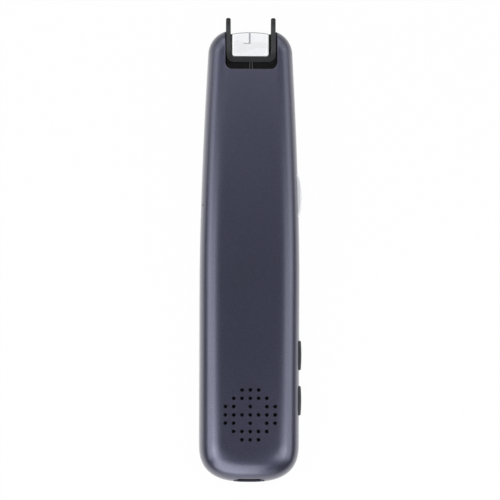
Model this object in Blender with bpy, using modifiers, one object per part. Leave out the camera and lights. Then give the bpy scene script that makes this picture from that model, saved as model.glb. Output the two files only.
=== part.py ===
"""Pocket scanning pen, modelled as an assembly of separate pieces.

The pen lies on its front glass with its back up. X runs across the pen, Y runs from the
tail to the scanning head, and Z runs from the glass to the back. Lengths are in metres.
"""

import math

import bmesh
import bpy
from mathutils import Matrix, Vector

# Clearances
SEAT_GAP = 0.0003
BOND_GAP = 0.0001
SLIDE_GAP = 0.0002
OVERRUN = 0.0020
WELD_DISTANCE = 0.000002

# Housing seen from the back
HOUSING_WIDTH = 0.0338
HOUSING_LENGTH = 0.15275
NIB_REACH = 0.00415
TAIL_ROUND_LENGTH = 0.0135
TAIL_POWER = 2.6
TAIL_INSET_SHARE = 1.5
TAPER_START_SHARE = 0.4481
TAPER_LENGTH_SHARE = 0.4583
TAPER_DROP = 0.00242
TAPER_POWER = 1.65
HEAD_CORNER_RADIUS = 0.0085
TAIL_STEPS = 10
SIDE_STEPS = 9
CORNER_STEPS = 5

# Housing seen from the side
COVER_HEIGHT = 0.0077
HEAD_THINNING = 0.0010
CROWN_HEIGHT = 0.0008
COVER_EDGE_WIDTH = 0.0078
COVER_EDGE_POWER = 2.4
COVER_WALL = 0.0012
COVER_SKIRT = 0.0010
COVER_EDGE_STEPS = 8
FRAME_EDGE_WIDTH = 0.0020
FRAME_EDGE_POWER = 2.2
FRAME_EDGE_STEPS = 4
FRAME_LIFT = 0.00025
LIP_WALL = 0.0008
LIP_HEIGHT = 0.0006

# Notch for the nib
NOTCH_SIDE_GAP = 0.00055
NOTCH_DEPTH = 0.0131
NOTCH_CORNER_RADIUS = 0.0022

# Glass and display
GLASS_THICKNESS = 0.0010
GLASS_INSET = 0.00285
GLASS_POCKET_GAP = 0.00025
GLASS_HEAD_MARGIN = 0.0027
GLASS_CORNER_RADIUS = 0.0030
DISPLAY_SIDE_MARGIN = 0.0054
DISPLAY_LENGTH_SHARE = 0.6023
DISPLAY_THICKNESS = 0.0018
DISPLAY_FLEX_WIDTH = 0.0080
DISPLAY_FLEX_THICKNESS = 0.0002
DISPLAY_FLEX_BEND = 0.0008
DISPLAY_FLEX_LANDING = 0.0040

# Middle frame
MID_FRAME_THICKNESS = 0.0008
MID_FRAME_CORNER_RADIUS = 0.0020
MID_FRAME_HEAD_MARGIN = 0.0020
BOSS_RADIUS = 0.0014
BOSS_HEIGHT = 0.0010
SCREW_HEAD_RADIUS = 0.0011
SCREW_HEAD_HEIGHT = 0.0005
SCREW_SHANK_RADIUS = 0.00055
SCREW_BITE = 0.0012
FRAME_SCREW_SIDE_MARGIN = 0.0013
FRAME_SCREW_BRACKET_GAP = 0.0032
FRAME_SCREW_HEAD_MARGIN = 0.0122

# Speaker and its grille
SPEAKER_FROM_TAIL = 0.02275
SPEAKER_SIDE_MARGIN = 0.0064
SPEAKER_THICKNESS = 0.0044
SPEAKER_MAGNET_SHARE = 0.648
SPEAKER_RIM_THICKNESS = 0.0012
SPEAKER_SURROUND_WIDTH = 0.0018
GASKET_THICKNESS = 0.0007
GASKET_WIDTH = 0.0008
MESH_THICKNESS = 0.0002
GRILLE_PITCH_SHARE = 0.2667
GRILLE_HOLE_RADIUS = 0.00062
GRILLE_RIB_WIDTH = 0.0009
GRILLE_ROWS = {
    0: (-3, -2, -1, 0, 1, 2, 3),
    1: (-3, -2, 0, 2, 3),
    2: (-2, -1, 0, 1, 2),
    3: (-1, 0, 1),
}
GRILLE_SIDES = 12

# Battery
BATTERY_OVER_SPEAKER = 0.0003
BATTERY_LENGTH_SHARE = 0.2684
BATTERY_THICKNESS = 0.0050
BATTERY_EDGE_RADIUS = 0.0012
BATTERY_SPEAKER_GAP = 0.0008
BATTERY_BOARD_GAP = 0.0020
LEAD_RADIUS = 0.00035
LEAD_SPACING = 0.0016
LEAD_SAG = 0.0006

# Main board and what it carries
BOARD_SIDE_MARGIN = 0.0054
BOARD_THICKNESS = 0.0010
BOARD_CORNER_RADIUS = 0.0010
BOARD_SCREW_MARGIN = 0.0022
SHIELD_WIDTH_SHARE = 0.65
SHIELD_LENGTH_SHARE = 0.38
SHIELD_HEIGHT = 0.0016
SHIELD_WALL = 0.0003
SHIELD_CENTRE_SHARE = 0.42
CHIP_HEIGHT = 0.0011
CHIP_SHARES = {
    "battery_connector": (-0.40, 0.10, 0.16, 0.05),
    "power_chip": (0.42, 0.10, 0.22, 0.09),
    "storage_chip": (-0.30, 0.72, 0.24, 0.11),
    "radio_chip": (0.42, 0.74, 0.18, 0.07),
    "display_connector": (0.00, 0.92, 0.38, 0.05),
}

# Tail board and charging socket
TAIL_BOARD_THICKNESS = 0.0008
TAIL_BOARD_INSET = 0.0031
TAIL_BOARD_SPEAKER_GAP = 0.0004
SOCKET_WIDTH = 0.00894
SOCKET_HEIGHT = 0.00326
SOCKET_WALL = 0.0003
SOCKET_LENGTH = 0.00735
SOCKET_RECESS = 0.0006
SOCKET_OPENING_MARGIN_X = 0.00083
SOCKET_OPENING_MARGIN_Z = 0.00047
TONGUE_WIDTH = 0.00669
TONGUE_THICKNESS = 0.0007
TONGUE_RECESS = 0.0009
TAIL_FLEX_WIDTH = 0.0020
TAIL_FLEX_THICKNESS = 0.0002
TAIL_FLEX_REACH = 0.0035

# Keys on the right side
KEY_Z_ABOVE_RIM = 0.0028
KEY_HEIGHT = 0.0026
KEY_TRAVEL = 0.00035
KEY_EDGE_ROUND = 0.0004
KEY_FLANGE_MARGIN = 0.0007
KEY_FLANGE_THICKNESS = 0.0006
KEY_FLANGE_DEPTH = 0.0029
KEY_PAD_MARGIN = 0.0005
KEY_STEPS = 7
KEY_FACE_STEPS = 6
KEY_EDGE_STEPS = 2
VOLUME_KEY_LENGTH = 0.0100
VOLUME_KEY_PROUD = 0.0008
VOLUME_KEY_SAG = 0.0002
VOLUME_UP_SHARE = 0.2805
VOLUME_DOWN_SHARE = 0.1804
POWER_KEY_LENGTH = 0.0149
POWER_KEY_PROUD = 0.0012
POWER_KEY_SAG = 0.0010
POWER_KEY_SHARE = 0.6347
SWITCH_WIDTH = 0.0036
SWITCH_HEIGHT = 0.0022
SWITCH_DEPTH = 0.00095
SWITCH_BASE = 0.0002
POWER_SWITCH_DEPTH = 0.0028
PLUNGER_RADIUS = 0.0006
PLUNGER_LENGTH = 0.00065
KEY_FLEX_THICKNESS = 0.00015
KEY_FLEX_STRIP = 0.0012
BRACKET_THICKNESS = 0.0002
BRACKET_HEIGHT = 0.0042
BRACKET_FOOT = 0.0022
BRACKET_END_MARGIN = 0.0012

# Microphone on the left side
MIC_SHARE = 0.6124
MIC_ABOVE_RIM = 0.0032
MIC_RADIUS = 0.0013
MIC_LENGTH = 0.0015
MIC_WALL_DISTANCE = 0.0036
MIC_HOLE_RADIUS = 0.0004
MIC_CUP_WALL = 0.0007

# Nib
NIB_TRAVEL = 0.0010
FORK_WIDTH = 0.0169
FORK_SIDE_STEPS = 6
FORK_ARM_WIDTH = 0.0015
FORK_TIP_RADIUS = 0.0013
FORK_BAR_DEPTH = 0.0017
FORK_BAR_FROM_FLOOR = 0.0023
FORK_CORNER_RADIUS = 0.0016
FORK_BASE_DROP = 0.0012
FORK_ROOF = 0.0013
FORK_DECK_GAP = 0.0003
FORK_DECK_DROP = 0.0008
FORK_DECK_WALL_X = 0.0027
FORK_DECK_WALL_Z = 0.0010
FORK_DECK_BEHIND = 0.0020
FORK_RAIL_WIDTH = 0.0008
FORK_RAIL_MARGIN = 0.0008
FORK_RAIL_RISE = 0.0012
FORK_RAIL_HEIGHT = 0.0012
FORK_LEDGE_WIDTH = 0.0014
FORK_RIB_WIDTH = 0.0009
FORK_RIB_HEIGHT = 0.0006
LUG_REACH = 0.0011
LUG_DEPTH = 0.0014
LUG_HEIGHT = 0.0026
WINDOW_ARM_GAP = 0.0008
WINDOW_GAP = 0.00025
WINDOW_SIDE_LENGTH = 0.0078
WINDOW_BULGE = 0.0005
WINDOW_WALL = 0.00065
WINDOW_FLOOR_MARGIN = 0.0008
WINDOW_ROOF_MARGIN = 0.0004
WINDOW_OPENING_MARGIN = 0.00165
WINDOW_OPENING_HEIGHT = 0.0036
WINDOW_STEPS = 8

# Optics behind the nib
OPTICS_FROM_FLOOR = 0.0082
CARRIER_SIDE_MARGIN = 0.00015
CARRIER_DEPTH = 0.0030
CARRIER_HEIGHT = 0.0044
OPTICAL_AXIS_ABOVE_DECK = 0.0020
CAMERA_WIDTH = 0.0070
CAMERA_LENGTH = 0.0052
CAMERA_HEIGHT = 0.0040
CAMERA_BOARD_GAP = 0.0040
LENS_RADIUS = 0.0016
LENS_TIP_RADIUS = 0.0013
LENS_STANDOUT = 0.0004
LENS_HOLE_GAP = 0.0002
LED_BOARD_SPRING_GAP = 0.0020
LED_BOARD_HEIGHT = 0.0040
LED_BOARD_THICKNESS = 0.0006
LED_SIZE = 0.0014
LED_DEPTH = 0.0007
LED_MARGIN = 0.0013
SPRING_SIDE_MARGIN = 0.00125
SPRING_RADIUS = 0.00085
SPRING_WIRE_RADIUS = 0.00015
SPRING_TURNS = 5
SPRING_POINTS = 9
PILOT_RADIUS = 0.0005
PILOT_LENGTH = 0.0010
NIB_SWITCH_WIDTH = 0.0030
NIB_SWITCH_LENGTH = 0.0032
NIB_SWITCH_HEIGHT = 0.0013
NIB_PLUNGER_RADIUS = 0.0004
NIB_PLUNGER_LENGTH = 0.0017
NIB_PLUNGER_SHOW = 0.0013
TAB_WIDTH = 0.0030
TAB_THICKNESS = 0.0008
TAB_RISE = 0.0003

# Places worked out from the sizes
HALF_WIDTH = HOUSING_WIDTH / 2
DISPLAY_WIDTH = HOUSING_WIDTH - 2 * DISPLAY_SIDE_MARGIN
DISPLAY_LENGTH = HOUSING_LENGTH * DISPLAY_LENGTH_SHARE
SPEAKER_RADIUS = HALF_WIDTH - SPEAKER_SIDE_MARGIN
SPEAKER_MAGNET_RADIUS = SPEAKER_RADIUS * SPEAKER_MAGNET_SHARE
GRILLE_PITCH = SPEAKER_RADIUS * GRILLE_PITCH_SHARE
BATTERY_WIDTH = 2 * (SPEAKER_RADIUS + BATTERY_OVER_SPEAKER)
BATTERY_LENGTH = HOUSING_LENGTH * BATTERY_LENGTH_SHARE
BOARD_WIDTH = HOUSING_WIDTH - 2 * BOARD_SIDE_MARGIN
SHIELD_WIDTH = BOARD_WIDTH * SHIELD_WIDTH_SHARE
TAPER_LENGTH = HOUSING_LENGTH * TAPER_LENGTH_SHARE
NOTCH_WIDTH = FORK_WIDTH + 2 * NOTCH_SIDE_GAP
WINDOW_WIDTH = FORK_WIDTH - 2 * FORK_ARM_WIDTH - 2 * WINDOW_ARM_GAP
WINDOW_OPENING_WIDTH = WINDOW_WIDTH - 2 * WINDOW_OPENING_MARGIN
CARRIER_WIDTH = FORK_WIDTH + 2 * CARRIER_SIDE_MARGIN
SPRING_SPACING = FORK_WIDTH - 2 * SPRING_SIDE_MARGIN
LED_BOARD_WIDTH = SPRING_SPACING - 2 * LED_BOARD_SPRING_GAP
LED_SPACING = LED_BOARD_WIDTH - 2 * LED_MARGIN
TAIL_Y = -(HOUSING_LENGTH + NIB_REACH) / 2
HEAD_Y = TAIL_Y + HOUSING_LENGTH
TIP_Y = HEAD_Y + NIB_REACH
TAIL_CENTRE_Y = TAIL_Y + TAIL_ROUND_LENGTH
TAPER_START_Y = TAIL_Y + HOUSING_LENGTH * TAPER_START_SHARE
NOTCH_FLOOR_Y = HEAD_Y - NOTCH_DEPTH
NOTCH_INNER_Y = NOTCH_FLOOR_Y - COVER_WALL
DISPLAY_BASE_Z = GLASS_THICKNESS + SEAT_GAP
SHELF_TOP_Z = DISPLAY_BASE_Z + DISPLAY_THICKNESS
MID_FRAME_Z = SHELF_TOP_Z + SEAT_GAP
COVER_RIM_Z = MID_FRAME_Z + MID_FRAME_THICKNESS
FRAME_TOP_Z = COVER_RIM_Z - SEAT_GAP
DECK_Z = COVER_RIM_Z + SEAT_GAP
LIP_INSET = COVER_WALL + SEAT_GAP
MID_FRAME_INSET = LIP_INSET + LIP_WALL + SEAT_GAP
SPEAKER_Y = TAIL_Y + SPEAKER_FROM_TAIL
BATTERY_TAIL_Y = SPEAKER_Y + SPEAKER_RADIUS + BATTERY_SPEAKER_GAP
BATTERY_HEAD_Y = BATTERY_TAIL_Y + BATTERY_LENGTH
CARRIER_FRONT_Y = NOTCH_FLOOR_Y - OPTICS_FROM_FLOOR
CARRIER_REAR_Y = CARRIER_FRONT_Y - CARRIER_DEPTH
CAMERA_FRONT_Y = CARRIER_REAR_Y - SEAT_GAP
CAMERA_REAR_Y = CAMERA_FRONT_Y - CAMERA_LENGTH
BOARD_TAIL_Y = BATTERY_HEAD_Y + BATTERY_BOARD_GAP
BOARD_HEAD_Y = CAMERA_REAR_Y - CAMERA_BOARD_GAP
BOARD_LENGTH = BOARD_HEAD_Y - BOARD_TAIL_Y
SHIELD_LENGTH = BOARD_LENGTH * SHIELD_LENGTH_SHARE
BOARD_Z = COVER_RIM_Z + BOSS_HEIGHT + SEAT_GAP
BOARD_TOP_Z = BOARD_Z + BOARD_THICKNESS
DISPLAY_HEAD_Y = BOARD_HEAD_Y + SEAT_GAP
DISPLAY_TAIL_Y = DISPLAY_HEAD_Y - DISPLAY_LENGTH
DISPLAY_FLEX_Y = DISPLAY_HEAD_Y + DISPLAY_FLEX_BEND + SEAT_GAP
TAIL_BOARD_Z = SHELF_TOP_Z + SEAT_GAP
SOCKET_Z = TAIL_BOARD_Z + TAIL_BOARD_THICKNESS + SEAT_GAP + SOCKET_HEIGHT / 2
SOCKET_MOUTH_Y = TAIL_Y + SOCKET_RECESS
SOCKET_REAR_Y = SOCKET_MOUTH_Y + SOCKET_LENGTH
TAIL_BOARD_HEAD_Y = SPEAKER_Y - SPEAKER_RADIUS - TAIL_BOARD_SPEAKER_GAP
KEY_Z = COVER_RIM_Z + KEY_Z_ABOVE_RIM
VOLUME_UP_Y = TAIL_Y + HOUSING_LENGTH * VOLUME_UP_SHARE
VOLUME_DOWN_Y = TAIL_Y + HOUSING_LENGTH * VOLUME_DOWN_SHARE
POWER_KEY_Y = TAIL_Y + HOUSING_LENGTH * POWER_KEY_SHARE
BRACKET_TAIL_Y = VOLUME_DOWN_Y - VOLUME_KEY_LENGTH / 2 - BRACKET_END_MARGIN
BRACKET_HEAD_Y = VOLUME_UP_Y + VOLUME_KEY_LENGTH / 2 + BRACKET_END_MARGIN
MIC_Y = TAIL_Y + HOUSING_LENGTH * MIC_SHARE
MIC_Z = COVER_RIM_Z + MIC_ABOVE_RIM
FORK_BASE_Z = COVER_RIM_Z - FORK_BASE_DROP
FORK_TOP_Z = COVER_RIM_Z + COVER_HEIGHT - HEAD_THINNING - FORK_ROOF
FORK_BAR_Y = NOTCH_FLOOR_Y + FORK_BAR_FROM_FLOOR
FORK_BAR_FRONT_Y = FORK_BAR_Y + FORK_BAR_DEPTH
FORK_DECK_Z = FORK_TOP_Z - FORK_DECK_DROP
FORK_REAR_Y = NOTCH_INNER_Y - FORK_DECK_BEHIND
FORK_DECK_HALF = NOTCH_WIDTH / 2 - 2 * FORK_DECK_GAP - SLIDE_GAP
OPTICAL_Z = DECK_Z + OPTICAL_AXIS_ABOVE_DECK
NIB_CENTRE = Vector((0, FORK_BAR_Y, (FORK_BASE_Z + FORK_TOP_Z) / 2))
ROUND_SIDES = 32
SMALL_SIDES = 16
QUARTER_TURN = math.pi / 2

COLLECTION_NAME = "scanning_pen"
GUIDES_NAME = "cutters"
SHARP_ANGLE = math.radians(30)
FLAT_ANGLE = math.radians(1)

# Turns a shape drawn flat, with its thickness along Z, to face along X or Y
FACING_X = Matrix(((0, 0, 1, 0), (1, 0, 0, 0), (0, 1, 0, 0), (0, 0, 0, 1)))
FACING_Y = Matrix(((1, 0, 0, 0), (0, 0, 1, 0), (0, 1, 0, 0), (0, 0, 0, 1)))

# Base colour, roughness and metallic value of each finish
FINISHES = {
    "slate_metal_paint": ((0.070, 0.068, 0.095), 0.42, 0.60),
    "black_plastic": ((0.012, 0.012, 0.014), 0.45, 0.0),
    "clear_plastic": ((0.93, 0.94, 0.97), 0.05, 0.0),
    "front_glass_black": ((0.006, 0.006, 0.008), 0.05, 0.0),
    "silver_plastic": ((0.62, 0.62, 0.65), 0.30, 0.80),
    "steel": ((0.55, 0.56, 0.58), 0.28, 1.0),
    "board_green": ((0.015, 0.10, 0.045), 0.40, 0.0),
    "chip_black": ((0.02, 0.02, 0.022), 0.50, 0.0),
    "flex_amber": ((0.36, 0.16, 0.03), 0.35, 0.0),
    "cell_foil": ((0.50, 0.52, 0.55), 0.35, 0.70),
    "grey_rubber": ((0.05, 0.05, 0.05), 0.80, 0.0),
    "switch_white": ((0.75, 0.75, 0.72), 0.45, 0.0),
}


def clear_scene():
    """Removes every object, so that the script can run again."""
    for old in list(bpy.data.objects):
        bpy.data.objects.remove(old)


def add_collection(name):
    collection = bpy.data.collections.new(name)
    bpy.context.scene.collection.children.link(collection)


def add_finishes():
    """One Principled material for each finish."""
    for name, (colour, roughness, metallic) in FINISHES.items():
        material = bpy.data.materials.new(name)
        material.use_nodes = True
        shader = material.node_tree.nodes["Principled BSDF"]
        shader.inputs["Base Color"].default_value = (*colour, 1)
        shader.inputs["Roughness"].default_value = roughness
        shader.inputs["Metallic"].default_value = metallic


def finish_mesh(shape, name):
    """Turns a bmesh into a mesh with its faces pointing out and its flat edges sharp."""
    bmesh.ops.recalc_face_normals(shape, faces=shape.faces)
    mesh = bpy.data.meshes.new(name)
    shape.to_mesh(mesh)
    shape.free()
    mesh.shade_smooth()
    mesh.set_sharp_from_angle(angle=SHARP_ANGLE)
    return mesh


def add_piece(name, mesh, finish, origin=None):
    """Places a mesh drawn in world coordinates as a named piece with its own origin."""
    piece = bpy.data.objects.new(name, mesh)
    if origin is not None:
        mesh.transform(Matrix.Translation(-origin))
        piece.location = origin
    piece.data.materials.append(bpy.data.materials[finish])
    bpy.data.collections[COLLECTION_NAME].objects.link(piece)
    return piece


def add_guide(name, shape):
    """Keeps a shape as a wire guide for Boolean modifiers."""
    guide = bpy.data.objects.new(name, finish_mesh(shape, name))
    guide.hide_render = True
    guide.display_type = "WIRE"
    bpy.data.collections[GUIDES_NAME].objects.link(guide)
    return guide


def add_boolean(piece, operation, guide):
    modifier = piece.modifiers.new(guide.name, "BOOLEAN")
    modifier.operation = operation
    modifier.solver = "EXACT"
    modifier.object = guide


def add_mirror(piece):
    modifier = piece.modifiers.new("mirror", "MIRROR")
    modifier.merge_threshold = WELD_DISTANCE


def add_bevel(piece, width, segments):
    modifier = piece.modifiers.new("bevel", "BEVEL")
    modifier.width = width
    modifier.segments = segments
    modifier.limit_method = "ANGLE"


def add_box(shape, low, high):
    """Adds a box between two opposite corners."""
    low = Vector(low)
    high = Vector(high)
    size = Matrix.Diagonal((*(high - low), 1))
    bmesh.ops.create_cube(shape, size=1, matrix=Matrix.Translation((low + high) / 2) @ size)


def add_rod(shape, start, end, radius, sides=SMALL_SIDES, end_radius=None):
    """Adds a capped cylinder, or a cone with two radii, between two points."""
    start = Vector(start)
    axis = Vector(end) - start
    turn = Vector((0, 0, 1)).rotation_difference(axis).to_matrix().to_4x4()
    bmesh.ops.create_cone(
        shape,
        cap_ends=True,
        segments=sides,
        radius1=radius,
        radius2=radius if end_radius is None else end_radius,
        depth=axis.length,
        matrix=Matrix.Translation(start + axis / 2) @ turn,
    )


def mesh_from_curve(name, curve):
    """Turns a curve into a closed mesh with its caps welded on."""
    holder = bpy.data.objects.new(name, curve)
    bpy.context.scene.collection.objects.link(holder)
    graph = bpy.context.evaluated_depsgraph_get()
    mesh = bpy.data.meshes.new_from_object(holder.evaluated_get(graph))
    shape = bmesh.new()
    shape.from_mesh(mesh)
    bmesh.ops.remove_doubles(shape, verts=shape.verts, dist=WELD_DISTANCE)
    shape.to_mesh(mesh)
    shape.free()
    bpy.data.objects.remove(holder)
    bpy.data.curves.remove(curve)
    return mesh


def add_plate(shape, outlines, low, high, facing=None):
    """Adds a flat plate: outlines filled as a 2D curve, with thickness from low to high."""
    curve = bpy.data.curves.new("plate", "CURVE")
    curve.dimensions = "2D"
    curve.fill_mode = "BOTH"
    curve.extrude = (high - low) / 2
    for outline in outlines:
        spline = curve.splines.new("POLY")
        spline.points.add(len(outline) - 1)
        for point, (across, along) in zip(spline.points, outline):
            point.co = (across, along, 0, 1)
        spline.use_cyclic_u = True
    mesh = mesh_from_curve("plate", curve)
    mesh.transform(Matrix.Translation((0, 0, (low + high) / 2)))
    if facing is not None:
        mesh.transform(facing)
    shape.from_mesh(mesh)
    bpy.data.meshes.remove(mesh)


def add_tube(shape, points, radius):
    """Adds a round wire with closed ends through a list of points."""
    curve = bpy.data.curves.new("tube", "CURVE")
    curve.dimensions = "3D"
    curve.bevel_depth = radius
    curve.bevel_resolution = 1
    curve.use_fill_caps = True
    spline = curve.splines.new("POLY")
    spline.points.add(len(points) - 1)
    for point, place in zip(spline.points, points):
        point.co = (*place, 1)
    mesh = mesh_from_curve("tube", curve)
    shape.from_mesh(mesh)
    bpy.data.meshes.remove(mesh)


def turned_piece(name, profile, centre, finish, sides=ROUND_SIDES):
    """A piece turned round a vertical axis from (radius, height) points, top to bottom."""
    shape = bmesh.new()
    corners = [shape.verts.new((radius, 0, height)) for radius, height in profile]
    for upper, lower in zip(corners, corners[1:]):
        shape.edges.new((upper, lower))
    mesh = bpy.data.meshes.new(name)
    shape.to_mesh(mesh)
    shape.free()
    piece = add_piece(name, mesh, finish)
    piece.location = centre
    screw = piece.modifiers.new("screw", "SCREW")
    screw.steps = sides
    screw.render_steps = sides
    screw.merge_threshold = WELD_DISTANCE
    screw.use_merge_vertices = True
    return piece


def arc(centre, radius, start, turn, steps=CORNER_STEPS):
    """Points of an arc with both ends, from an angle through a turn."""
    points = []
    for step in range(steps + 1):
        angle = start + turn * step / steps
        points.append((centre[0] + radius * math.cos(angle), centre[1] + radius * math.sin(angle)))
    return points


def rounded_outline(x_low, x_high, y_low, y_high, radius):
    """A rectangle with round corners."""
    left = x_low + radius
    right = x_high - radius
    near = y_low + radius
    far = y_high - radius
    corners = ((right, far), (left, far), (left, near), (right, near))
    points = []
    for index, corner in enumerate(corners):
        points += arc(corner, radius, index * QUARTER_TURN, QUARTER_TURN)
    return points


def stadium_outline(centre, length, height, steps=KEY_STEPS):
    """A slot outline: two half circles joined by straight sides."""
    radius = height / 2
    reach = length / 2 - radius
    far = arc((centre[0] + reach, centre[1]), radius, -QUARTER_TURN, math.pi, steps)
    near = arc((centre[0] - reach, centre[1]), radius, QUARTER_TURN, math.pi, steps)
    return far + near


def circle_outline(centre, radius, sides=SMALL_SIDES):
    return arc(centre, radius, 0, 2 * math.pi * (sides - 1) / sides, sides - 1)


def notch_outline(margin):
    """The U of the head's notch, grown by a margin and open past the head."""
    half = NOTCH_WIDTH / 2 + margin
    radius = NOTCH_CORNER_RADIUS + margin
    floor = NOTCH_FLOOR_Y - margin
    mouth = HEAD_Y + OVERRUN
    left = arc((radius - half, floor + radius), radius, math.pi, QUARTER_TURN)
    right = arc((half - radius, floor + radius), radius, -QUARTER_TURN, QUARTER_TURN)
    return [(-half, mouth)] + left + right + [(half, mouth)]


def side_half_width(y):
    """Half the housing's width: straight near the tail, then tapering to the head."""
    share = max(y - TAPER_START_Y, 0) / TAPER_LENGTH
    return HALF_WIDTH - TAPER_DROP * share**TAPER_POWER


def half_outline(inset, end_y=None, corner=None):
    """Right half of the housing's plan outline, drawn in by an inset, from tail to head."""
    end_y = HEAD_Y - inset if end_y is None else end_y
    corner = HEAD_CORNER_RADIUS - inset if corner is None else corner
    half = HALF_WIDTH - inset
    depth = TAIL_ROUND_LENGTH - inset * TAIL_INSET_SHARE
    points = []
    for step in range(TAIL_STEPS + 1):
        angle = QUARTER_TURN * step / TAIL_STEPS
        across = math.sin(angle) ** (2 / TAIL_POWER)
        along = math.cos(angle) ** (2 / TAIL_POWER)
        points.append((half * across, TAIL_CENTRE_Y - depth * along))
    corner_y = end_y - corner
    for step in range(1, SIDE_STEPS):
        y = TAIL_CENTRE_Y + (corner_y - TAIL_CENTRE_Y) * step / SIDE_STEPS
        points.append((side_half_width(y) - inset, y))
    corner_x = side_half_width(corner_y) - inset - corner
    points += arc((corner_x, corner_y), corner, 0, QUARTER_TURN)
    points += [(corner_x / 2, end_y), (0, end_y)]
    return points


def full_outline(inset, end_y=None, corner=None):
    """The housing's plan outline on both sides."""
    right = half_outline(inset, end_y, corner)
    return right + [(-x, y) for x, y in reversed(right[1:-1])]


def loft_half(shape, rings, cap_height):
    """Right half of a loft, open at the middle plane, with a ladder of faces as its cap."""
    levels = [[shape.verts.new(point) for point in ring] for ring in rings]
    for lower, upper in zip(levels, levels[1:]):
        for index in range(len(lower) - 1):
            shape.faces.new((lower[index], lower[index + 1], upper[index + 1], upper[index]))
    edge = levels[-1]
    rungs = []
    for vertex in edge[1:-3]:
        x, y, _ = vertex.co
        inner = shape.verts.new((x / 2, y, cap_height(x / 2, y)))
        middle = shape.verts.new((0, y, cap_height(0, y)))
        rungs.append((vertex, inner, middle))
    rungs.append(tuple(edge[-3:]))
    for column in range(2):
        shape.faces.new((edge[0], rungs[0][column], rungs[0][column + 1]))
        for near, far in zip(rungs, rungs[1:]):
            shape.faces.new((near[column], far[column], far[column + 1], near[column + 1]))
    return levels[0]


def edge_curve(share, power):
    """Inward spread and rise of a rounded edge, both as shares, at a share of its turn."""
    angle = QUARTER_TURN * share
    return 1 - abs(math.cos(angle)) ** (2 / power), math.sin(angle) ** (2 / power)


def cover_height(y):
    """Height of the cover over its rim, a little lower towards the head."""
    share = max(y - TAPER_START_Y, 0) / (HEAD_Y - TAPER_START_Y)
    return COVER_HEIGHT - HEAD_THINNING * share * share


def cover_z(x, y, rise=1, inset=0):
    """Height of the cover's surface, with the crown of its back."""
    crown = CROWN_HEIGHT * (1 - (x / side_half_width(y)) ** 2)
    return COVER_RIM_Z + rise * (cover_height(y) - inset + crown)


def cover_side_x(y, z):
    """How far the cover's outer side lies from the middle plane at a height."""
    rise = (z - COVER_RIM_Z) / cover_height(y)
    turn = math.asin(rise ** (COVER_EDGE_POWER / 2))
    return side_half_width(y) - COVER_EDGE_WIDTH * (1 - math.cos(turn) ** (2 / COVER_EDGE_POWER))


def cover_rings(inset):
    """Levels of the cover from below its rim to the edge of its back."""
    skirt_z = COVER_RIM_Z - COVER_SKIRT
    rings = [[(x, y, skirt_z) for x, y in half_outline(inset)]]
    for step in range(COVER_EDGE_STEPS + 1):
        spread, rise = edge_curve(step / COVER_EDGE_STEPS, COVER_EDGE_POWER)
        outline = half_outline(inset + (COVER_EDGE_WIDTH - inset) * spread)
        rings.append([(x, y, cover_z(x, y, rise, inset)) for x, y in outline])
    return rings


def cover_core():
    """A solid that ends half way into the cover's wall, to trim the ribs inside it."""
    inset = COVER_WALL / 2
    shape = bmesh.new()
    base = loft_half(shape, cover_rings(inset), lambda x, y: cover_z(x, y, 1, inset))
    shape.faces.new(list(reversed(base)))
    mesh = bpy.data.meshes.new("cover_core")
    shape.to_mesh(mesh)
    shape.free()
    core = bpy.data.objects.new("cover_core", mesh)
    core.hide_render = True
    core.display_type = "WIRE"
    bpy.data.collections[GUIDES_NAME].objects.link(core)
    add_mirror(core)
    return core


def key_outline(key, margin):
    """A side key's slot outline in Y and Z, grown by a margin."""
    return stadium_outline((key.y, KEY_Z), key.length + 2 * margin, KEY_HEIGHT + 2 * margin)


class SideKey:
    """Place and sizes of one key, measured from the housing wall beside it."""

    def __init__(self, name, y, length, proud, sag):
        self.name = name
        self.y = y
        self.length = length
        self.proud = proud
        self.sag = sag
        self.wall_x = cover_side_x(y, KEY_Z)
        self.flange_outer_x = self.wall_x - KEY_FLANGE_DEPTH
        self.flange_inner_x = self.flange_outer_x - KEY_FLANGE_THICKNESS
        self.pad_x = self.flange_outer_x + SEAT_GAP
        self.switch_face_x = self.flange_inner_x - KEY_TRAVEL - BOND_GAP
        self.plunger_x = self.flange_inner_x - BOND_GAP
        self.origin = Vector((self.wall_x, y, KEY_Z))


def side_keys():
    volume = (VOLUME_KEY_LENGTH, VOLUME_KEY_PROUD, VOLUME_KEY_SAG)
    power = (POWER_KEY_LENGTH, POWER_KEY_PROUD, POWER_KEY_SAG)
    return (
        SideKey("volume_up", VOLUME_UP_Y, *volume),
        SideKey("volume_down", VOLUME_DOWN_Y, *volume),
        SideKey("power", POWER_KEY_Y, *power),
    )


def grille_places():
    """Centres of the speaker's holes, in rows that mirror about the middle row."""
    places = []
    for row, columns in GRILLE_ROWS.items():
        for side in (1, -1) if row else (1,):
            for column in columns:
                places.append((column * GRILLE_PITCH, SPEAKER_Y + side * row * GRILLE_PITCH))
    return places


def grille_radius():
    """Radius that clears every hole of the grille."""
    reach = max(math.hypot(x, y - SPEAKER_Y) for x, y in grille_places())
    return reach + GRILLE_HOLE_RADIUS + SLIDE_GAP


def speaker_ring_z():
    """Bottom of the cover's ring that presses the gasket on the speaker."""
    return DECK_Z + SPEAKER_THICKNESS + GASKET_THICKNESS + 2 * SEAT_GAP


def add_fork_slot():
    """The space that the nib's deck slides in, through both halves of the housing."""
    half = FORK_DECK_HALF + FORK_DECK_GAP
    rear = FORK_REAR_Y - NIB_TRAVEL - SEAT_GAP
    shape = bmesh.new()
    low = (-half, rear, FORK_BASE_Z - FORK_DECK_GAP)
    high = (half, FORK_BAR_Y, FORK_TOP_Z + TAB_RISE + FORK_DECK_GAP)
    add_box(shape, low, high)
    return add_guide("fork_slot_cutter", shape)


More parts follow.
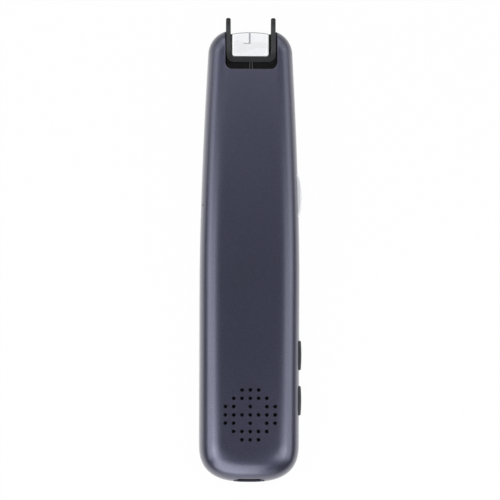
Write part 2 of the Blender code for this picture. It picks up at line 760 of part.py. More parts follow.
def add_notch_cutter():
    shape = bmesh.new()
    add_plate(shape, [notch_outline(0)], -OVERRUN, cover_z(0, 0) + OVERRUN)
    return add_guide("notch_cutter", shape)


def mic_wall_x():
    return -cover_side_x(MIC_Y, MIC_Z)


def make_cover_ribs(core, keys):
    """Walls inside the cover: round the notch, the speaker, the keys and the microphone."""
    top = cover_z(0, 0)
    shape = bmesh.new()
    add_plate(shape, [notch_outline(COVER_WALL)], COVER_RIM_Z - COVER_SKIRT / 2, top)
    ring = grille_radius()
    centre = (0, SPEAKER_Y)
    circles = [circle_outline(centre, ring + GRILLE_RIB_WIDTH, ROUND_SIDES)]
    circles.append(circle_outline(centre, ring, ROUND_SIDES))
    add_plate(shape, circles, speaker_ring_z(), top)
    for key in keys:
        pad = key_outline(key, SLIDE_GAP + KEY_PAD_MARGIN)
        add_plate(shape, [pad], key.pad_x, HALF_WIDTH, FACING_X)
    wall_x = mic_wall_x()
    cup_end = (wall_x + MIC_WALL_DISTANCE, MIC_Y, MIC_Z)
    add_rod(shape, (-HALF_WIDTH, MIC_Y, MIC_Z), cup_end, MIC_RADIUS + SLIDE_GAP + MIC_CUP_WALL)
    ribs = add_guide("cover_ribs", shape)
    add_boolean(ribs, "INTERSECT", core)
    return ribs


def add_cover_cutters(keys):
    """Holes of the cover, as groups in which no two shapes touch."""
    grille = bmesh.new()
    for x, y in grille_places():
        low = (x, y, speaker_ring_z())
        add_rod(grille, low, (x, y, cover_z(0, 0) + OVERRUN), GRILLE_HOLE_RADIUS, GRILLE_SIDES)
    sides = bmesh.new()
    for key in keys:
        slot = key_outline(key, SLIDE_GAP)
        add_plate(sides, [slot], key.flange_outer_x, HALF_WIDTH + OVERRUN, FACING_X)
    width = SOCKET_WIDTH + 2 * SOCKET_OPENING_MARGIN_X
    height = SOCKET_HEIGHT + 2 * SOCKET_OPENING_MARGIN_Z
    mouth = stadium_outline((0, SOCKET_Z), width, height)
    add_plate(sides, [mouth], TAIL_Y - OVERRUN, SOCKET_REAR_Y, FACING_Y)
    outside = (-HALF_WIDTH - OVERRUN, MIC_Y, MIC_Z)
    add_rod(sides, outside, (mic_wall_x() + MIC_WALL_DISTANCE, MIC_Y, MIC_Z), MIC_HOLE_RADIUS)
    cup = bmesh.new()
    inner = mic_wall_x() + MIC_WALL_DISTANCE
    add_rod(
        cup,
        (inner - MIC_LENGTH, MIC_Y, MIC_Z),
        (inner + OVERRUN, MIC_Y, MIC_Z),
        MIC_RADIUS + SLIDE_GAP,
    )
    trim = bmesh.new()
    corner = Vector((HALF_WIDTH + OVERRUN, HEAD_Y + OVERRUN, COVER_RIM_Z))
    add_box(trim, (-corner.x, TAIL_Y - OVERRUN, -OVERRUN), corner)
    return (
        add_guide("rim_cutter", trim),
        add_guide("grille_cutter", grille),
        add_guide("side_cutter", sides),
        add_guide("mic_cup_cutter", cup),
    )


def make_back_cover(keys, notch, fork_slot):
    """The moulded back: a lofted shell with its ribs, notch, grille and openings."""
    shape = bmesh.new()
    loft_half(shape, cover_rings(0), cover_z)
    mesh = bpy.data.meshes.new("back_cover")
    shape.to_mesh(mesh)
    shape.free()
    mesh.shade_smooth()
    mesh.set_sharp_from_angle(angle=SHARP_ANGLE)
    cover = add_piece("back_cover", mesh, "slate_metal_paint")
    add_mirror(cover)
    wall = cover.modifiers.new("wall", "SOLIDIFY")
    wall.thickness = COVER_WALL
    wall.offset = -1
    wall.use_even_offset = True
    add_boolean(cover, "UNION", make_cover_ribs(cover_core(), keys))
    for cutter in (*add_cover_cutters(keys), notch, fork_slot):
        add_boolean(cover, "DIFFERENCE", cutter)


def display_box(margin):
    """Opposite corners of the display, grown sideways by a margin."""
    half = DISPLAY_WIDTH / 2 + margin
    low = Vector((-half, DISPLAY_TAIL_Y - margin, DISPLAY_BASE_Z))
    return low, Vector((half, DISPLAY_HEAD_Y + margin, SHELF_TOP_Z))


def frame_screw_places():
    """Places of the screws along both edges of the middle frame."""
    tail = BRACKET_TAIL_Y - FRAME_SCREW_BRACKET_GAP
    head = mid_frame_end_y() - FRAME_SCREW_HEAD_MARGIN
    places = []
    for y in (tail, (tail + head) / 2, head):
        x = side_half_width(y) - MID_FRAME_INSET - FRAME_SCREW_SIDE_MARGIN
        places += [(x, y), (-x, y)]
    return places


def mid_frame_end_y():
    return FORK_REAR_Y - NIB_TRAVEL - MID_FRAME_HEAD_MARGIN


def make_front_frame(fork_slot):
    """The front half of the housing: rim, shelf round the display, lip, and the fork's ledge."""
    rings = []
    height = FRAME_TOP_Z - FRAME_LIFT
    for step in range(FRAME_EDGE_STEPS + 1):
        spread, rise = edge_curve(step / FRAME_EDGE_STEPS, FRAME_EDGE_POWER)
        outline = half_outline(FRAME_EDGE_WIDTH * spread)
        rings.append([(x, y, FRAME_TOP_Z - height * rise) for x, y in outline])
    shape = bmesh.new()
    base = loft_half(shape, rings, lambda x, y: FRAME_LIFT)
    shape.faces.new(list(reversed(base)))
    bmesh.ops.reverse_faces(shape, faces=shape.faces)
    mesh = bpy.data.meshes.new("front_frame")
    shape.to_mesh(mesh)
    shape.free()
    frame = add_piece("front_frame", mesh, "slate_metal_paint")
    add_mirror(frame)

    lip = bmesh.new()
    lip_end = NOTCH_INNER_Y - SEAT_GAP
    corner = NOTCH_CORNER_RADIUS
    lip_top = COVER_RIM_Z + LIP_HEIGHT
    add_plate(lip, [full_outline(LIP_INSET, lip_end, corner)], FRAME_TOP_Z - LIP_HEIGHT, lip_top)
    add_boolean(frame, "UNION", add_guide("lip_guide", lip))

    inside = bmesh.new()
    inner_outline = full_outline(LIP_INSET + LIP_WALL, lip_end - LIP_WALL, corner)
    add_plate(inside, [inner_outline], SHELF_TOP_Z, lip_top + OVERRUN)
    pocket = bmesh.new()
    inset = GLASS_INSET - GLASS_POCKET_GAP
    end = NOTCH_FLOOR_Y - GLASS_HEAD_MARGIN + GLASS_POCKET_GAP
    corner = GLASS_CORNER_RADIUS + GLASS_POCKET_GAP
    add_plate(pocket, [full_outline(inset, end, corner)], -OVERRUN, DISPLAY_BASE_Z)
    window = bmesh.new()
    low, high = display_box(SEAT_GAP)
    add_box(window, low - Vector((0, 0, OVERRUN)), high + Vector((0, 0, OVERRUN)))
    flex_half = DISPLAY_FLEX_WIDTH / 2 + SEAT_GAP
    flex_end = DISPLAY_FLEX_Y + DISPLAY_FLEX_THICKNESS + SEAT_GAP
    flex = bmesh.new()
    add_box(flex, (-flex_half, 0, DISPLAY_BASE_Z / 2), (flex_half, flex_end, FRAME_TOP_Z))
    mouth = bmesh.new()
    width = SOCKET_WIDTH + 2 * SOCKET_OPENING_MARGIN_X
    low = (-width / 2, TAIL_Y - OVERRUN, SOCKET_Z - SOCKET_HEIGHT / 2 - SOCKET_OPENING_MARGIN_Z)
    add_box(mouth, low, (width / 2, SOCKET_REAR_Y, lip_top + OVERRUN))
    holes = bmesh.new()
    for x, y in frame_screw_places():
        low = (x, y, SHELF_TOP_Z - SCREW_BITE - SLIDE_GAP)
        add_rod(holes, low, (x, y, FRAME_TOP_Z), SCREW_SHANK_RADIUS + SLIDE_GAP)
    ledge_z = FORK_BASE_Z - FORK_DECK_GAP
    bed = bmesh.new()
    add_plate(bed, [notch_outline(0)], ledge_z, lip_top + OVERRUN)
    view = bmesh.new()
    add_plate(view, [notch_outline(-FORK_LEDGE_WIDTH)], -OVERRUN, lip_top)
    shapes = {
        "frame_inside_cutter": inside,
        "glass_pocket_cutter": pocket,
        "display_window_cutter": window,
        "display_flex_cutter": flex,
        "frame_mouth_cutter": mouth,
        "frame_screw_cutter": holes,
        "fork_bed_cutter": bed,
        "fork_view_cutter": view,
    }
    for name, cutter in shapes.items():
        add_boolean(frame, "DIFFERENCE", add_guide(name, cutter))
    add_boolean(frame, "DIFFERENCE", fork_slot)


def make_front_glass():
    shape = bmesh.new()
    outline = full_outline(GLASS_INSET, NOTCH_FLOOR_Y - GLASS_HEAD_MARGIN, GLASS_CORNER_RADIUS)
    add_plate(shape, [outline], 0, GLASS_THICKNESS)
    add_piece("front_glass", finish_mesh(shape, "front_glass"), "front_glass_black")


def make_display():
    """The display panel and the flat cable that folds back over the main board."""
    shape = bmesh.new()
    low, high = display_box(0)
    add_box(shape, low, high)
    add_piece("display_panel", finish_mesh(shape, "display_panel"), "front_glass_black")

    thickness = DISPLAY_FLEX_THICKNESS
    bend = DISPLAY_FLEX_BEND
    start = (DISPLAY_HEAD_Y + BOND_GAP, DISPLAY_BASE_Z + DISPLAY_THICKNESS / 2)
    top = BOARD_TOP_Z + CHIP_HEIGHT + BOND_GAP + SEAT_GAP
    lower = (DISPLAY_FLEX_Y - bend, start[1] + bend)
    upper = (DISPLAY_FLEX_Y - bend, top - bend)
    outer = [(start[0], start[1] - thickness)]
    outer += arc(lower, bend + thickness, -QUARTER_TURN, QUARTER_TURN)
    outer += arc(upper, bend + thickness, 0, QUARTER_TURN)
    end_y = DISPLAY_FLEX_Y - DISPLAY_FLEX_LANDING
    outer.append((end_y, top + thickness))
    inner = [(end_y, top)]
    inner += arc(upper, bend, QUARTER_TURN, -QUARTER_TURN)
    inner += arc(lower, bend, 0, -QUARTER_TURN)
    inner.append(start)
    half = DISPLAY_FLEX_WIDTH / 2
    shape = bmesh.new()
    add_plate(shape, [outer + inner], -half, half, FACING_X)
    add_piece("display_flex", finish_mesh(shape, "display_flex"), "flex_amber")


def board_screw_places():
    """Places of the screws at the corners of the main board."""
    x = BOARD_WIDTH / 2 - BOARD_SCREW_MARGIN
    near = BOARD_TAIL_Y + BOARD_SCREW_MARGIN
    far = BOARD_HEAD_Y - BOARD_SCREW_MARGIN
    return [(x, near), (-x, near), (x, far), (-x, far)]


def make_mid_frame():
    """The metal frame that carries the battery and the boards, with its bosses."""
    plate = bmesh.new()
    outline = full_outline(MID_FRAME_INSET, mid_frame_end_y(), MID_FRAME_CORNER_RADIUS)
    add_plate(plate, [outline], MID_FRAME_Z, COVER_RIM_Z)
    frame = add_piece("mid_frame", finish_mesh(plate, "mid_frame"), "steel")
    bosses = bmesh.new()
    holes = bmesh.new()
    hole_radius = SCREW_SHANK_RADIUS + SLIDE_GAP
    boss_top = COVER_RIM_Z + BOSS_HEIGHT
    for x, y in board_screw_places():
        middle = (MID_FRAME_Z + COVER_RIM_Z) / 2
        add_rod(bosses, (x, y, middle), (x, y, boss_top), BOSS_RADIUS)
        add_rod(holes, (x, y, SHELF_TOP_Z), (x, y, boss_top + OVERRUN), hole_radius)
    for x, y in frame_screw_places():
        add_rod(holes, (x, y, SHELF_TOP_Z), (x, y, boss_top), hole_radius)
    add_boolean(frame, "UNION", add_guide("boss_guide", bosses))
    add_boolean(frame, "DIFFERENCE", add_guide("mid_frame_screw_cutter", holes))
    spaces = bmesh.new()
    flex_half = DISPLAY_FLEX_WIDTH / 2 + SEAT_GAP
    flex_tail = DISPLAY_FLEX_Y - SEAT_GAP
    flex_head = DISPLAY_FLEX_Y + DISPLAY_FLEX_THICKNESS + SEAT_GAP
    add_box(spaces, (-flex_half, flex_tail, SHELF_TOP_Z), (flex_half, flex_head, DECK_Z))
    low = (-HALF_WIDTH, TAIL_Y - OVERRUN, SHELF_TOP_Z)
    add_box(spaces, low, (HALF_WIDTH, TAIL_BOARD_HEAD_Y + SEAT_GAP, DECK_Z))
    add_boolean(frame, "DIFFERENCE", add_guide("mid_frame_space_cutter", spaces))


def make_screws(name, places, seat_z, depth):
    """Low headed screws, numbered in the order of their places."""
    profile = (
        (0, SCREW_HEAD_HEIGHT),
        (SCREW_HEAD_RADIUS, SCREW_HEAD_HEIGHT),
        (SCREW_HEAD_RADIUS, 0),
        (SCREW_SHANK_RADIUS, 0),
        (SCREW_SHANK_RADIUS, -depth),
        (0, -depth),
    )
    for number, (x, y) in enumerate(places, start=1):
        turned_piece(f"{name}_{number}", profile, (x, y, seat_z), "steel", SMALL_SIDES)


def make_main_board():
    """The main board, its shield can and its chips."""
    half = BOARD_WIDTH / 2
    outline = rounded_outline(-half, half, BOARD_TAIL_Y, BOARD_HEAD_Y, BOARD_CORNER_RADIUS)
    hole_radius = SCREW_SHANK_RADIUS + SLIDE_GAP
    holes = [circle_outline(place, hole_radius) for place in board_screw_places()]
    shape = bmesh.new()
    add_plate(shape, [outline, *holes], BOARD_Z, BOARD_TOP_Z)
    add_piece("main_board", finish_mesh(shape, "main_board"), "board_green")

    shape = bmesh.new()
    base = BOARD_TOP_Z + BOND_GAP
    middle = BOARD_TAIL_Y + BOARD_LENGTH * SHIELD_CENTRE_SHARE
    low = Vector((-SHIELD_WIDTH / 2, middle - SHIELD_LENGTH / 2, base))
    high = Vector((SHIELD_WIDTH / 2, middle + SHIELD_LENGTH / 2, base + SHIELD_HEIGHT))
    add_box(shape, low, high)
    floor = [face for face in shape.faces if face.normal.z < -math.cos(SHARP_ANGLE)]
    bmesh.ops.delete(shape, geom=floor, context="FACES_ONLY")
    mesh = bpy.data.meshes.new("soc_shield")
    shape.to_mesh(mesh)
    shape.free()
    shield = add_piece("soc_shield", mesh, "steel")
    wall = shield.modifiers.new("wall", "SOLIDIFY")
    wall.thickness = SHIELD_WALL
    wall.offset = -1
    wall.use_even_offset = True

    for name, (across, along, width, length) in CHIP_SHARES.items():
        middle = Vector((across * half, BOARD_TAIL_Y + along * BOARD_LENGTH, base))
        reach = Vector((width * half, length * BOARD_LENGTH / 2, 0))
        shape = bmesh.new()
        add_box(shape, middle - reach, middle + reach + Vector((0, 0, CHIP_HEIGHT)))
        add_piece(name, finish_mesh(shape, name), "chip_black")


def make_battery():
    """The flat cell between the speaker and the main board, with its two wires."""
    half = BATTERY_WIDTH / 2
    top = DECK_Z + BATTERY_THICKNESS
    shape = bmesh.new()
    add_box(shape, (-half, BATTERY_TAIL_Y, DECK_Z), (half, BATTERY_HEAD_Y, top))
    cell = add_piece("battery_cell", finish_mesh(shape, "battery_cell"), "cell_foil")
    add_bevel(cell, BATTERY_EDGE_RADIUS, 2)

    across, along, _, length = CHIP_SHARES["battery_connector"]
    plug_y = BOARD_TAIL_Y + (along - length / 2) * BOARD_LENGTH - BOND_GAP
    plug_z = BOARD_TOP_Z + BOND_GAP + CHIP_HEIGHT / 2
    start_y = BATTERY_HEAD_Y + BOND_GAP
    steps = 2 * CORNER_STEPS
    for name, side in (("battery_lead_left", -1), ("battery_lead_right", 1)):
        x = across * BOARD_WIDTH / 2 + side * LEAD_SPACING / 2
        points = []
        for step in range(steps + 1):
            share = step / steps
            y = start_y + share * (plug_y - start_y)
            points.append((x, y, plug_z + LEAD_SAG * math.sin(math.pi * share)))
        shape = bmesh.new()
        add_tube(shape, points, LEAD_RADIUS)
        add_piece(name, finish_mesh(shape, name), "grey_rubber")


def make_speaker():
    """The round speaker, the foam ring on its rim and the dust mesh under the grille."""
    top = SPEAKER_THICKNESS
    cone_edge = SPEAKER_RADIUS - SPEAKER_SURROUND_WIDTH
    frame_floor = top - 2 * SPEAKER_RIM_THICKNESS
    profile = (
        (0, top - SPEAKER_RIM_THICKNESS / 2),
        (cone_edge / 2, top - SPEAKER_RIM_THICKNESS / 3),
        (cone_edge, top - SPEAKER_RIM_THICKNESS),
        ((cone_edge + SPEAKER_RADIUS) / 2, top - SPEAKER_RIM_THICKNESS / 4),
        (SPEAKER_RADIUS - SPEAKER_SURROUND_WIDTH / 4, top),
        (SPEAKER_RADIUS, top),
        (SPEAKER_RADIUS, top - SPEAKER_RIM_THICKNESS),
        (SPEAKER_MAGNET_RADIUS, frame_floor),
        (SPEAKER_MAGNET_RADIUS, 0),
        (0, 0),
    )
    turned_piece("speaker", profile, (0, SPEAKER_Y, DECK_Z), "chip_black")

    centre = (0, SPEAKER_Y)
    radius = grille_radius()
    base = DECK_Z + SPEAKER_THICKNESS + SEAT_GAP
    circles = [circle_outline(centre, radius + GASKET_WIDTH, ROUND_SIDES)]
    circles.append(circle_outline(centre, radius, ROUND_SIDES))
    shape = bmesh.new()
    add_plate(shape, circles, base, base + GASKET_THICKNESS)
    add_piece("speaker_gasket", finish_mesh(shape, "speaker_gasket"), "grey_rubber")

    radius -= SLIDE_GAP
    top = cover_z(radius, SPEAKER_Y) - COVER_WALL - SEAT_GAP
    shape = bmesh.new()
    add_plate(shape, [circle_outline(centre, radius, ROUND_SIDES)], top - MESH_THICKNESS, top)
    add_piece("speaker_mesh", finish_mesh(shape, "speaker_mesh"), "chip_black")


def make_tail_board():
    """The small board that follows the round tail, and its flat cable to the main board."""
    base = TAIL_BOARD_Z
    shape = bmesh.new()
    add_plate(shape, [full_outline(TAIL_BOARD_INSET)], base, base + TAIL_BOARD_THICKNESS)
    board = add_piece("usb_board", finish_mesh(shape, "usb_board"), "board_green")
    rest = bmesh.new()
    low = (-HALF_WIDTH, TAIL_BOARD_HEAD_Y, base - OVERRUN)
    add_box(rest, low, (HALF_WIDTH, HEAD_Y, COVER_RIM_Z + OVERRUN))
    add_boolean(board, "DIFFERENCE", add_guide("usb_board_cutter", rest))

    x = -BATTERY_WIDTH / 2 - SEAT_GAP
    tail = TAIL_BOARD_HEAD_Y - TAIL_FLEX_REACH
    low = (x - TAIL_FLEX_THICKNESS, tail, DECK_Z)
    shape = bmesh.new()
    add_box(shape, low, (x, BOARD_TAIL_Y - SEAT_GAP, DECK_Z + TAIL_FLEX_WIDTH))
    add_piece("tail_flex", finish_mesh(shape, "tail_flex"), "flex_amber")


def make_socket():
    """The charging socket: a drawn steel shell with a contact tongue inside."""
    shape = bmesh.new()
    outer = stadium_outline((0, SOCKET_Z), SOCKET_WIDTH, SOCKET_HEIGHT)
    add_plate(shape, [outer], SOCKET_MOUTH_Y, SOCKET_REAR_Y, FACING_Y)
    shell = add_piece("usb_socket", finish_mesh(shape, "usb_socket"), "steel")
    bore = bmesh.new()
    width = SOCKET_WIDTH - 2 * SOCKET_WALL
    height = SOCKET_HEIGHT - 2 * SOCKET_WALL
    inner = stadium_outline((0, SOCKET_Z), width, height)
    floor = SOCKET_REAR_Y - 2 * SOCKET_WALL
    add_plate(bore, [inner], SOCKET_MOUTH_Y - OVERRUN, floor, FACING_Y)
    add_boolean(shell, "DIFFERENCE", add_guide("socket_bore_cutter", bore))

    shape = bmesh.new()
    half = Vector((TONGUE_WIDTH / 2, 0, TONGUE_THICKNESS / 2))
    start = Vector((0, SOCKET_MOUTH_Y + TONGUE_RECESS, SOCKET_Z))
    end = Vector((0, floor - BOND_GAP, SOCKET_Z))
    add_box(shape, start - half, end + half)
    add_piece("usb_tongue", finish_mesh(shape, "usb_tongue"), "chip_black")


def key_rows(key, margin):
    """Rows across a key's slot outline, from tip to tip: place along it and half height."""
    radius = KEY_HEIGHT / 2 + margin
    reach = (key.length - KEY_HEIGHT) / 2
    rows = []
    for step in range(KEY_STEPS + 1):
        angle = QUARTER_TURN * step / KEY_STEPS
        rows.append((reach + radius * math.cos(angle), radius * math.sin(angle)))
    for step in range(1, KEY_FACE_STEPS):
        rows.append((reach - 2 * reach * step / KEY_FACE_STEPS, radius))
    far = rows[:KEY_STEPS + 1]
    return rows + [(-along, half) for along, half in reversed(far)]


def key_ring(shape, key, margin, x_at):
    """Two chains of points over and under a key's middle, sharing their ends."""
    upper = []
    lower = []
    for along, half in key_rows(key, margin):
        y = key.y + along
        top = shape.verts.new((x_at(along, KEY_Z + half), y, KEY_Z + half))
        upper.append(top)
        if half < WELD_DISTANCE:
            lower.append(top)
        else:
            lower.append(shape.verts.new((x_at(along, KEY_Z - half), y, KEY_Z - half)))
    return upper, lower


def close_key_end(shape, ring):
    """Fills a key's end with a ladder of faces between its two chains."""
    upper, lower = ring
    for index in range(len(upper) - 1):
        corners = (upper[index], upper[index + 1], lower[index + 1], lower[index])
        shape.faces.new(list(dict.fromkeys(corners)))


def make_side_key(key, finish):
    """A key cap that follows the housing's side, with a flange that keeps it in its slot."""

    def face_x(along, z):
        swell = key.proud - key.sag * (2 * along / key.length) ** 2
        return cover_side_x(key.y + along, z) + swell

    root_x = (key.flange_inner_x + key.flange_outer_x) / 2
    shape = bmesh.new()
    rings = [key_ring(shape, key, 0, lambda along, z: root_x)]
    for step in range(KEY_EDGE_STEPS + 1):
        spread, rise = edge_curve(step / KEY_EDGE_STEPS, 2)
        sink = KEY_EDGE_ROUND * (1 - rise)
        margin = -KEY_EDGE_ROUND * spread
        rings.append(key_ring(shape, key, margin, lambda along, z: face_x(along, z) - sink))
    for lower_ring, upper_ring in zip(rings, rings[1:]):
        for near, far in zip(lower_ring, upper_ring):
            for index in range(len(near) - 1):
                shape.faces.new((near[index], near[index + 1], far[index + 1], far[index]))
    close_key_end(shape, rings[0])
    close_key_end(shape, rings[-1])
    name = key.name + "_key"
    cap = add_piece(name, finish_mesh(shape, name), finish, key.origin)
    flange = bmesh.new()
    outline = key_outline(key, KEY_FLANGE_MARGIN)
    add_plate(flange, [outline], key.flange_inner_x, key.flange_outer_x, FACING_X)
    add_boolean(cap, "UNION", add_guide(key.name + "_flange_guide", flange))


def make_switch(key, depth, z):
    """A push switch facing its key, with the plunger that the key presses."""
    name = key.name + "_switch"
    face = Vector((key.switch_face_x, key.y, z))
    reach = Vector((0, SWITCH_WIDTH / 2, SWITCH_HEIGHT / 2))
    body = bmesh.new()
    add_box(body, face - reach - Vector((depth, 0, 0)), face + reach)
    switch = add_piece(name, finish_mesh(body, name), "steel")
    bore = bmesh.new()
    bore_end = face - Vector((SWITCH_DEPTH - SWITCH_BASE, 0, 0))
    add_rod(bore, bore_end, face + Vector((OVERRUN, 0, 0)), PLUNGER_RADIUS + SLIDE_GAP)
    add_boolean(switch, "DIFFERENCE", add_guide(name + "_bore_cutter", bore))

    name = key.name + "_plunger"
    shape = bmesh.new()
    start = (key.plunger_x - PLUNGER_LENGTH, key.y, z)
    add_rod(shape, start, (key.plunger_x, key.y, z), PLUNGER_RADIUS)
    add_piece(name, finish_mesh(shape, name), "switch_white", key.origin)


def make_keys(keys):
    """The three side keys, their switches and what holds these."""
    volume_up, volume_down, power = keys
    power_z = BOARD_TOP_Z + BOND_GAP + SWITCH_HEIGHT / 2
    for key in (volume_up, volume_down):
        make_side_key(key, "black_plastic")
        make_switch(key, SWITCH_DEPTH, KEY_Z)
    make_side_key(power, "silver_plastic")
    make_switch(power, POWER_SWITCH_DEPTH, power_z)

    flex_x = volume_up.switch_face_x - SWITCH_DEPTH - BOND_GAP
    strip_low = KEY_Z - KEY_FLEX_STRIP / 2
    half = SWITCH_HEIGHT / 2 + SEAT_GAP
    outline = [
        (BRACKET_TAIL_Y, KEY_Z - half),
        (BRACKET_HEAD_Y, KEY_Z - half),
        (BRACKET_HEAD_Y, strip_low),
        (BOARD_TAIL_Y - SEAT_GAP, strip_low),
        (BOARD_TAIL_Y - SEAT_GAP, strip_low + KEY_FLEX_STRIP),
        (BRACKET_HEAD_Y, strip_low + KEY_FLEX_STRIP),
        (BRACKET_HEAD_Y, KEY_Z + half),
        (BRACKET_TAIL_Y, KEY_Z + half),
    ]
    shape = bmesh.new()
    add_plate(shape, [outline], flex_x - KEY_FLEX_THICKNESS, flex_x, FACING_X)
    add_piece("key_flex", finish_mesh(shape, "key_flex"), "flex_amber")

    face = flex_x - KEY_FLEX_THICKNESS - BOND_GAP
    rear = face - BRACKET_THICKNESS
    outline = [
        (rear, DECK_Z),
        (rear + BRACKET_FOOT, DECK_Z),
        (rear + BRACKET_FOOT, DECK_Z + BRACKET_THICKNESS),
        (face, DECK_Z + BRACKET_THICKNESS),
        (face, DECK_Z + BRACKET_HEIGHT),
        (rear, DECK_Z + BRACKET_HEIGHT),
    ]
    shape = bmesh.new()
    add_plate(shape, [outline], BRACKET_TAIL_Y, BRACKET_HEAD_Y, FACING_Y)
    add_piece("key_bracket", finish_mesh(shape, "key_bracket"), "steel")


def make_microphone():
    """The microphone capsule in its cup behind the hole on the left side."""
    inner = mic_wall_x() + MIC_WALL_DISTANCE
    outer = inner - MIC_LENGTH + SLIDE_GAP
    shape = bmesh.new()
    add_rod(shape, (outer, MIC_Y, MIC_Z), (inner + SLIDE_GAP, MIC_Y, MIC_Z), MIC_RADIUS)
    add_piece("microphone", finish_mesh(shape, "microphone"), "steel")


def fork_arm_outline():
    """Side view of a fork arm: it narrows smoothly to a round tip."""
    middle = (FORK_BASE_Z + FORK_TOP_Z) / 2
    root_y = FORK_BAR_Y + FORK_CORNER_RADIUS
    centre = (TIP_Y - FORK_TIP_RADIUS, middle)
    half = (FORK_TOP_Z - FORK_BASE_Z) / 2
    lower = []
    for step in range(FORK_SIDE_STEPS):
        share = step / FORK_SIDE_STEPS
        ease = share * share * (3 - 2 * share)
        y = root_y + share * (centre[0] - root_y)
        lower.append((y, half - (half - FORK_TIP_RADIUS) * ease))
    tip = arc(centre, FORK_TIP_RADIUS, -QUARTER_TURN, math.pi, 2 * CORNER_STEPS)
    start = [(y, middle - reach) for y, reach in lower]
    back = [(y, middle + reach) for y, reach in reversed(lower)]
    return start + tip + back


def lug_front_y():
    """Where the fork's stops meet the round corners behind the notch."""
    radius = NOTCH_CORNER_RADIUS + COVER_WALL
    side = FORK_DECK_HALF + FORK_DECK_GAP - (NOTCH_WIDTH / 2 - NOTCH_CORNER_RADIUS)
    rise = math.sqrt(radius * radius - side * side)
    return NOTCH_FLOOR_Y + NOTCH_CORNER_RADIUS - rise - SEAT_GAP


def make_nib_fork():
    """The sprung black fork: two arms, a cross bar, and a hollow deck behind the bar."""
    half = FORK_WIDTH / 2
    shape = bmesh.new()
    corner_y = FORK_BAR_Y + FORK_CORNER_RADIUS
    corner_x = half - FORK_CORNER_RADIUS
    left = arc((-corner_x, corner_y), FORK_CORNER_RADIUS, math.pi, QUARTER_TURN)
    right = arc((corner_x, corner_y), FORK_CORNER_RADIUS, -QUARTER_TURN, QUARTER_TURN)
    bar = left + right + [(half, FORK_BAR_FRONT_Y), (-half, FORK_BAR_FRONT_Y)]
    add_plate(shape, [bar], FORK_BASE_Z, FORK_TOP_Z)
    fork = add_piece("nib_fork", finish_mesh(shape, "nib_fork"), "black_plastic", NIB_CENTRE)

    deck = bmesh.new()
    low = (-FORK_DECK_HALF, FORK_REAR_Y, FORK_BASE_Z)
    add_box(deck, low, (FORK_DECK_HALF, FORK_BAR_Y + FORK_CORNER_RADIUS / 2, FORK_DECK_Z))
    add_boolean(fork, "UNION", add_guide("fork_deck_guide", deck))

    arms = bmesh.new()
    for outer in (-half, half - FORK_ARM_WIDTH):
        add_plate(arms, [fork_arm_outline()], outer, outer + FORK_ARM_WIDTH, FACING_X)
    bmesh.ops.dissolve_limit(arms, angle_limit=FLAT_ANGLE, verts=arms.verts, edges=arms.edges)
    arms_guide = add_guide("fork_arm_guide", arms)
    add_bevel(arms_guide, FORK_ARM_WIDTH / 4, 2)
    add_boolean(fork, "UNION", arms_guide)

    small = bmesh.new()
    rail_inner = WINDOW_WIDTH / 2 + WINDOW_GAP
    rail_front = FORK_BAR_FRONT_Y + WINDOW_SIDE_LENGTH - FORK_RAIL_MARGIN
    bar_middle = (FORK_BAR_Y + FORK_BAR_FRONT_Y) / 2
    lug_half = LUG_HEIGHT / 2
    lug_outer = FORK_DECK_HALF + FORK_DECK_GAP + LUG_REACH
    lug_inner = FORK_DECK_HALF - FORK_DECK_GAP
    for side in (-1, 1):
        x_pair = sorted((side * rail_inner, side * (rail_inner + FORK_RAIL_WIDTH)))
        rail_base = FORK_BASE_Z + FORK_RAIL_RISE
        low = (x_pair[0], bar_middle, rail_base)
        add_box(small, low, (x_pair[1], rail_front, rail_base + FORK_RAIL_HEIGHT))
        x_pair = sorted((side * lug_inner, side * lug_outer))
        low = (x_pair[0], lug_front_y() - LUG_DEPTH, NIB_CENTRE.z - lug_half)
        add_box(small, low, (x_pair[1], lug_front_y(), NIB_CENTRE.z + lug_half))
        pilot_x = side * SPRING_SPACING / 2
        root = (pilot_x, FORK_REAR_Y + PILOT_LENGTH, NIB_CENTRE.z)
        end = (pilot_x, FORK_REAR_Y - PILOT_LENGTH, NIB_CENTRE.z)
        add_rod(small, root, end, PILOT_RADIUS, GRILLE_SIDES)
    add_boolean(fork, "UNION", add_guide("fork_detail_guide", small))

    ridge = bmesh.new()
    low = (-FORK_RIB_WIDTH / 2, FORK_REAR_Y, FORK_DECK_Z - FORK_RIB_HEIGHT)
    add_box(ridge, low, (FORK_RIB_WIDTH / 2, bar_middle, FORK_DECK_Z + FORK_RIB_HEIGHT))
    add_boolean(fork, "UNION", add_guide("fork_rib_guide", ridge))
    tab = bmesh.new()
    low = (-TAB_WIDTH / 2, nib_plunger_y() + BOND_GAP, FORK_TOP_Z - TAB_THICKNESS)
    high = (TAB_WIDTH / 2, FORK_REAR_Y + PILOT_LENGTH / 2, FORK_TOP_Z + TAB_RISE)
    add_box(tab, low, high)
    add_boolean(fork, "UNION", add_guide("fork_tab_guide", tab))

    tunnel = bmesh.new()
    reach = FORK_DECK_HALF - FORK_DECK_WALL_X
    low = (-reach, FORK_REAR_Y - OVERRUN, FORK_BASE_Z + FORK_DECK_WALL_Z)
    high = (reach, FORK_BAR_FRONT_Y + OVERRUN, FORK_DECK_Z - FORK_DECK_WALL_Z)
    add_box(tunnel, low, high)
    add_boolean(fork, "DIFFERENCE", add_guide("fork_tunnel_cutter", tunnel))


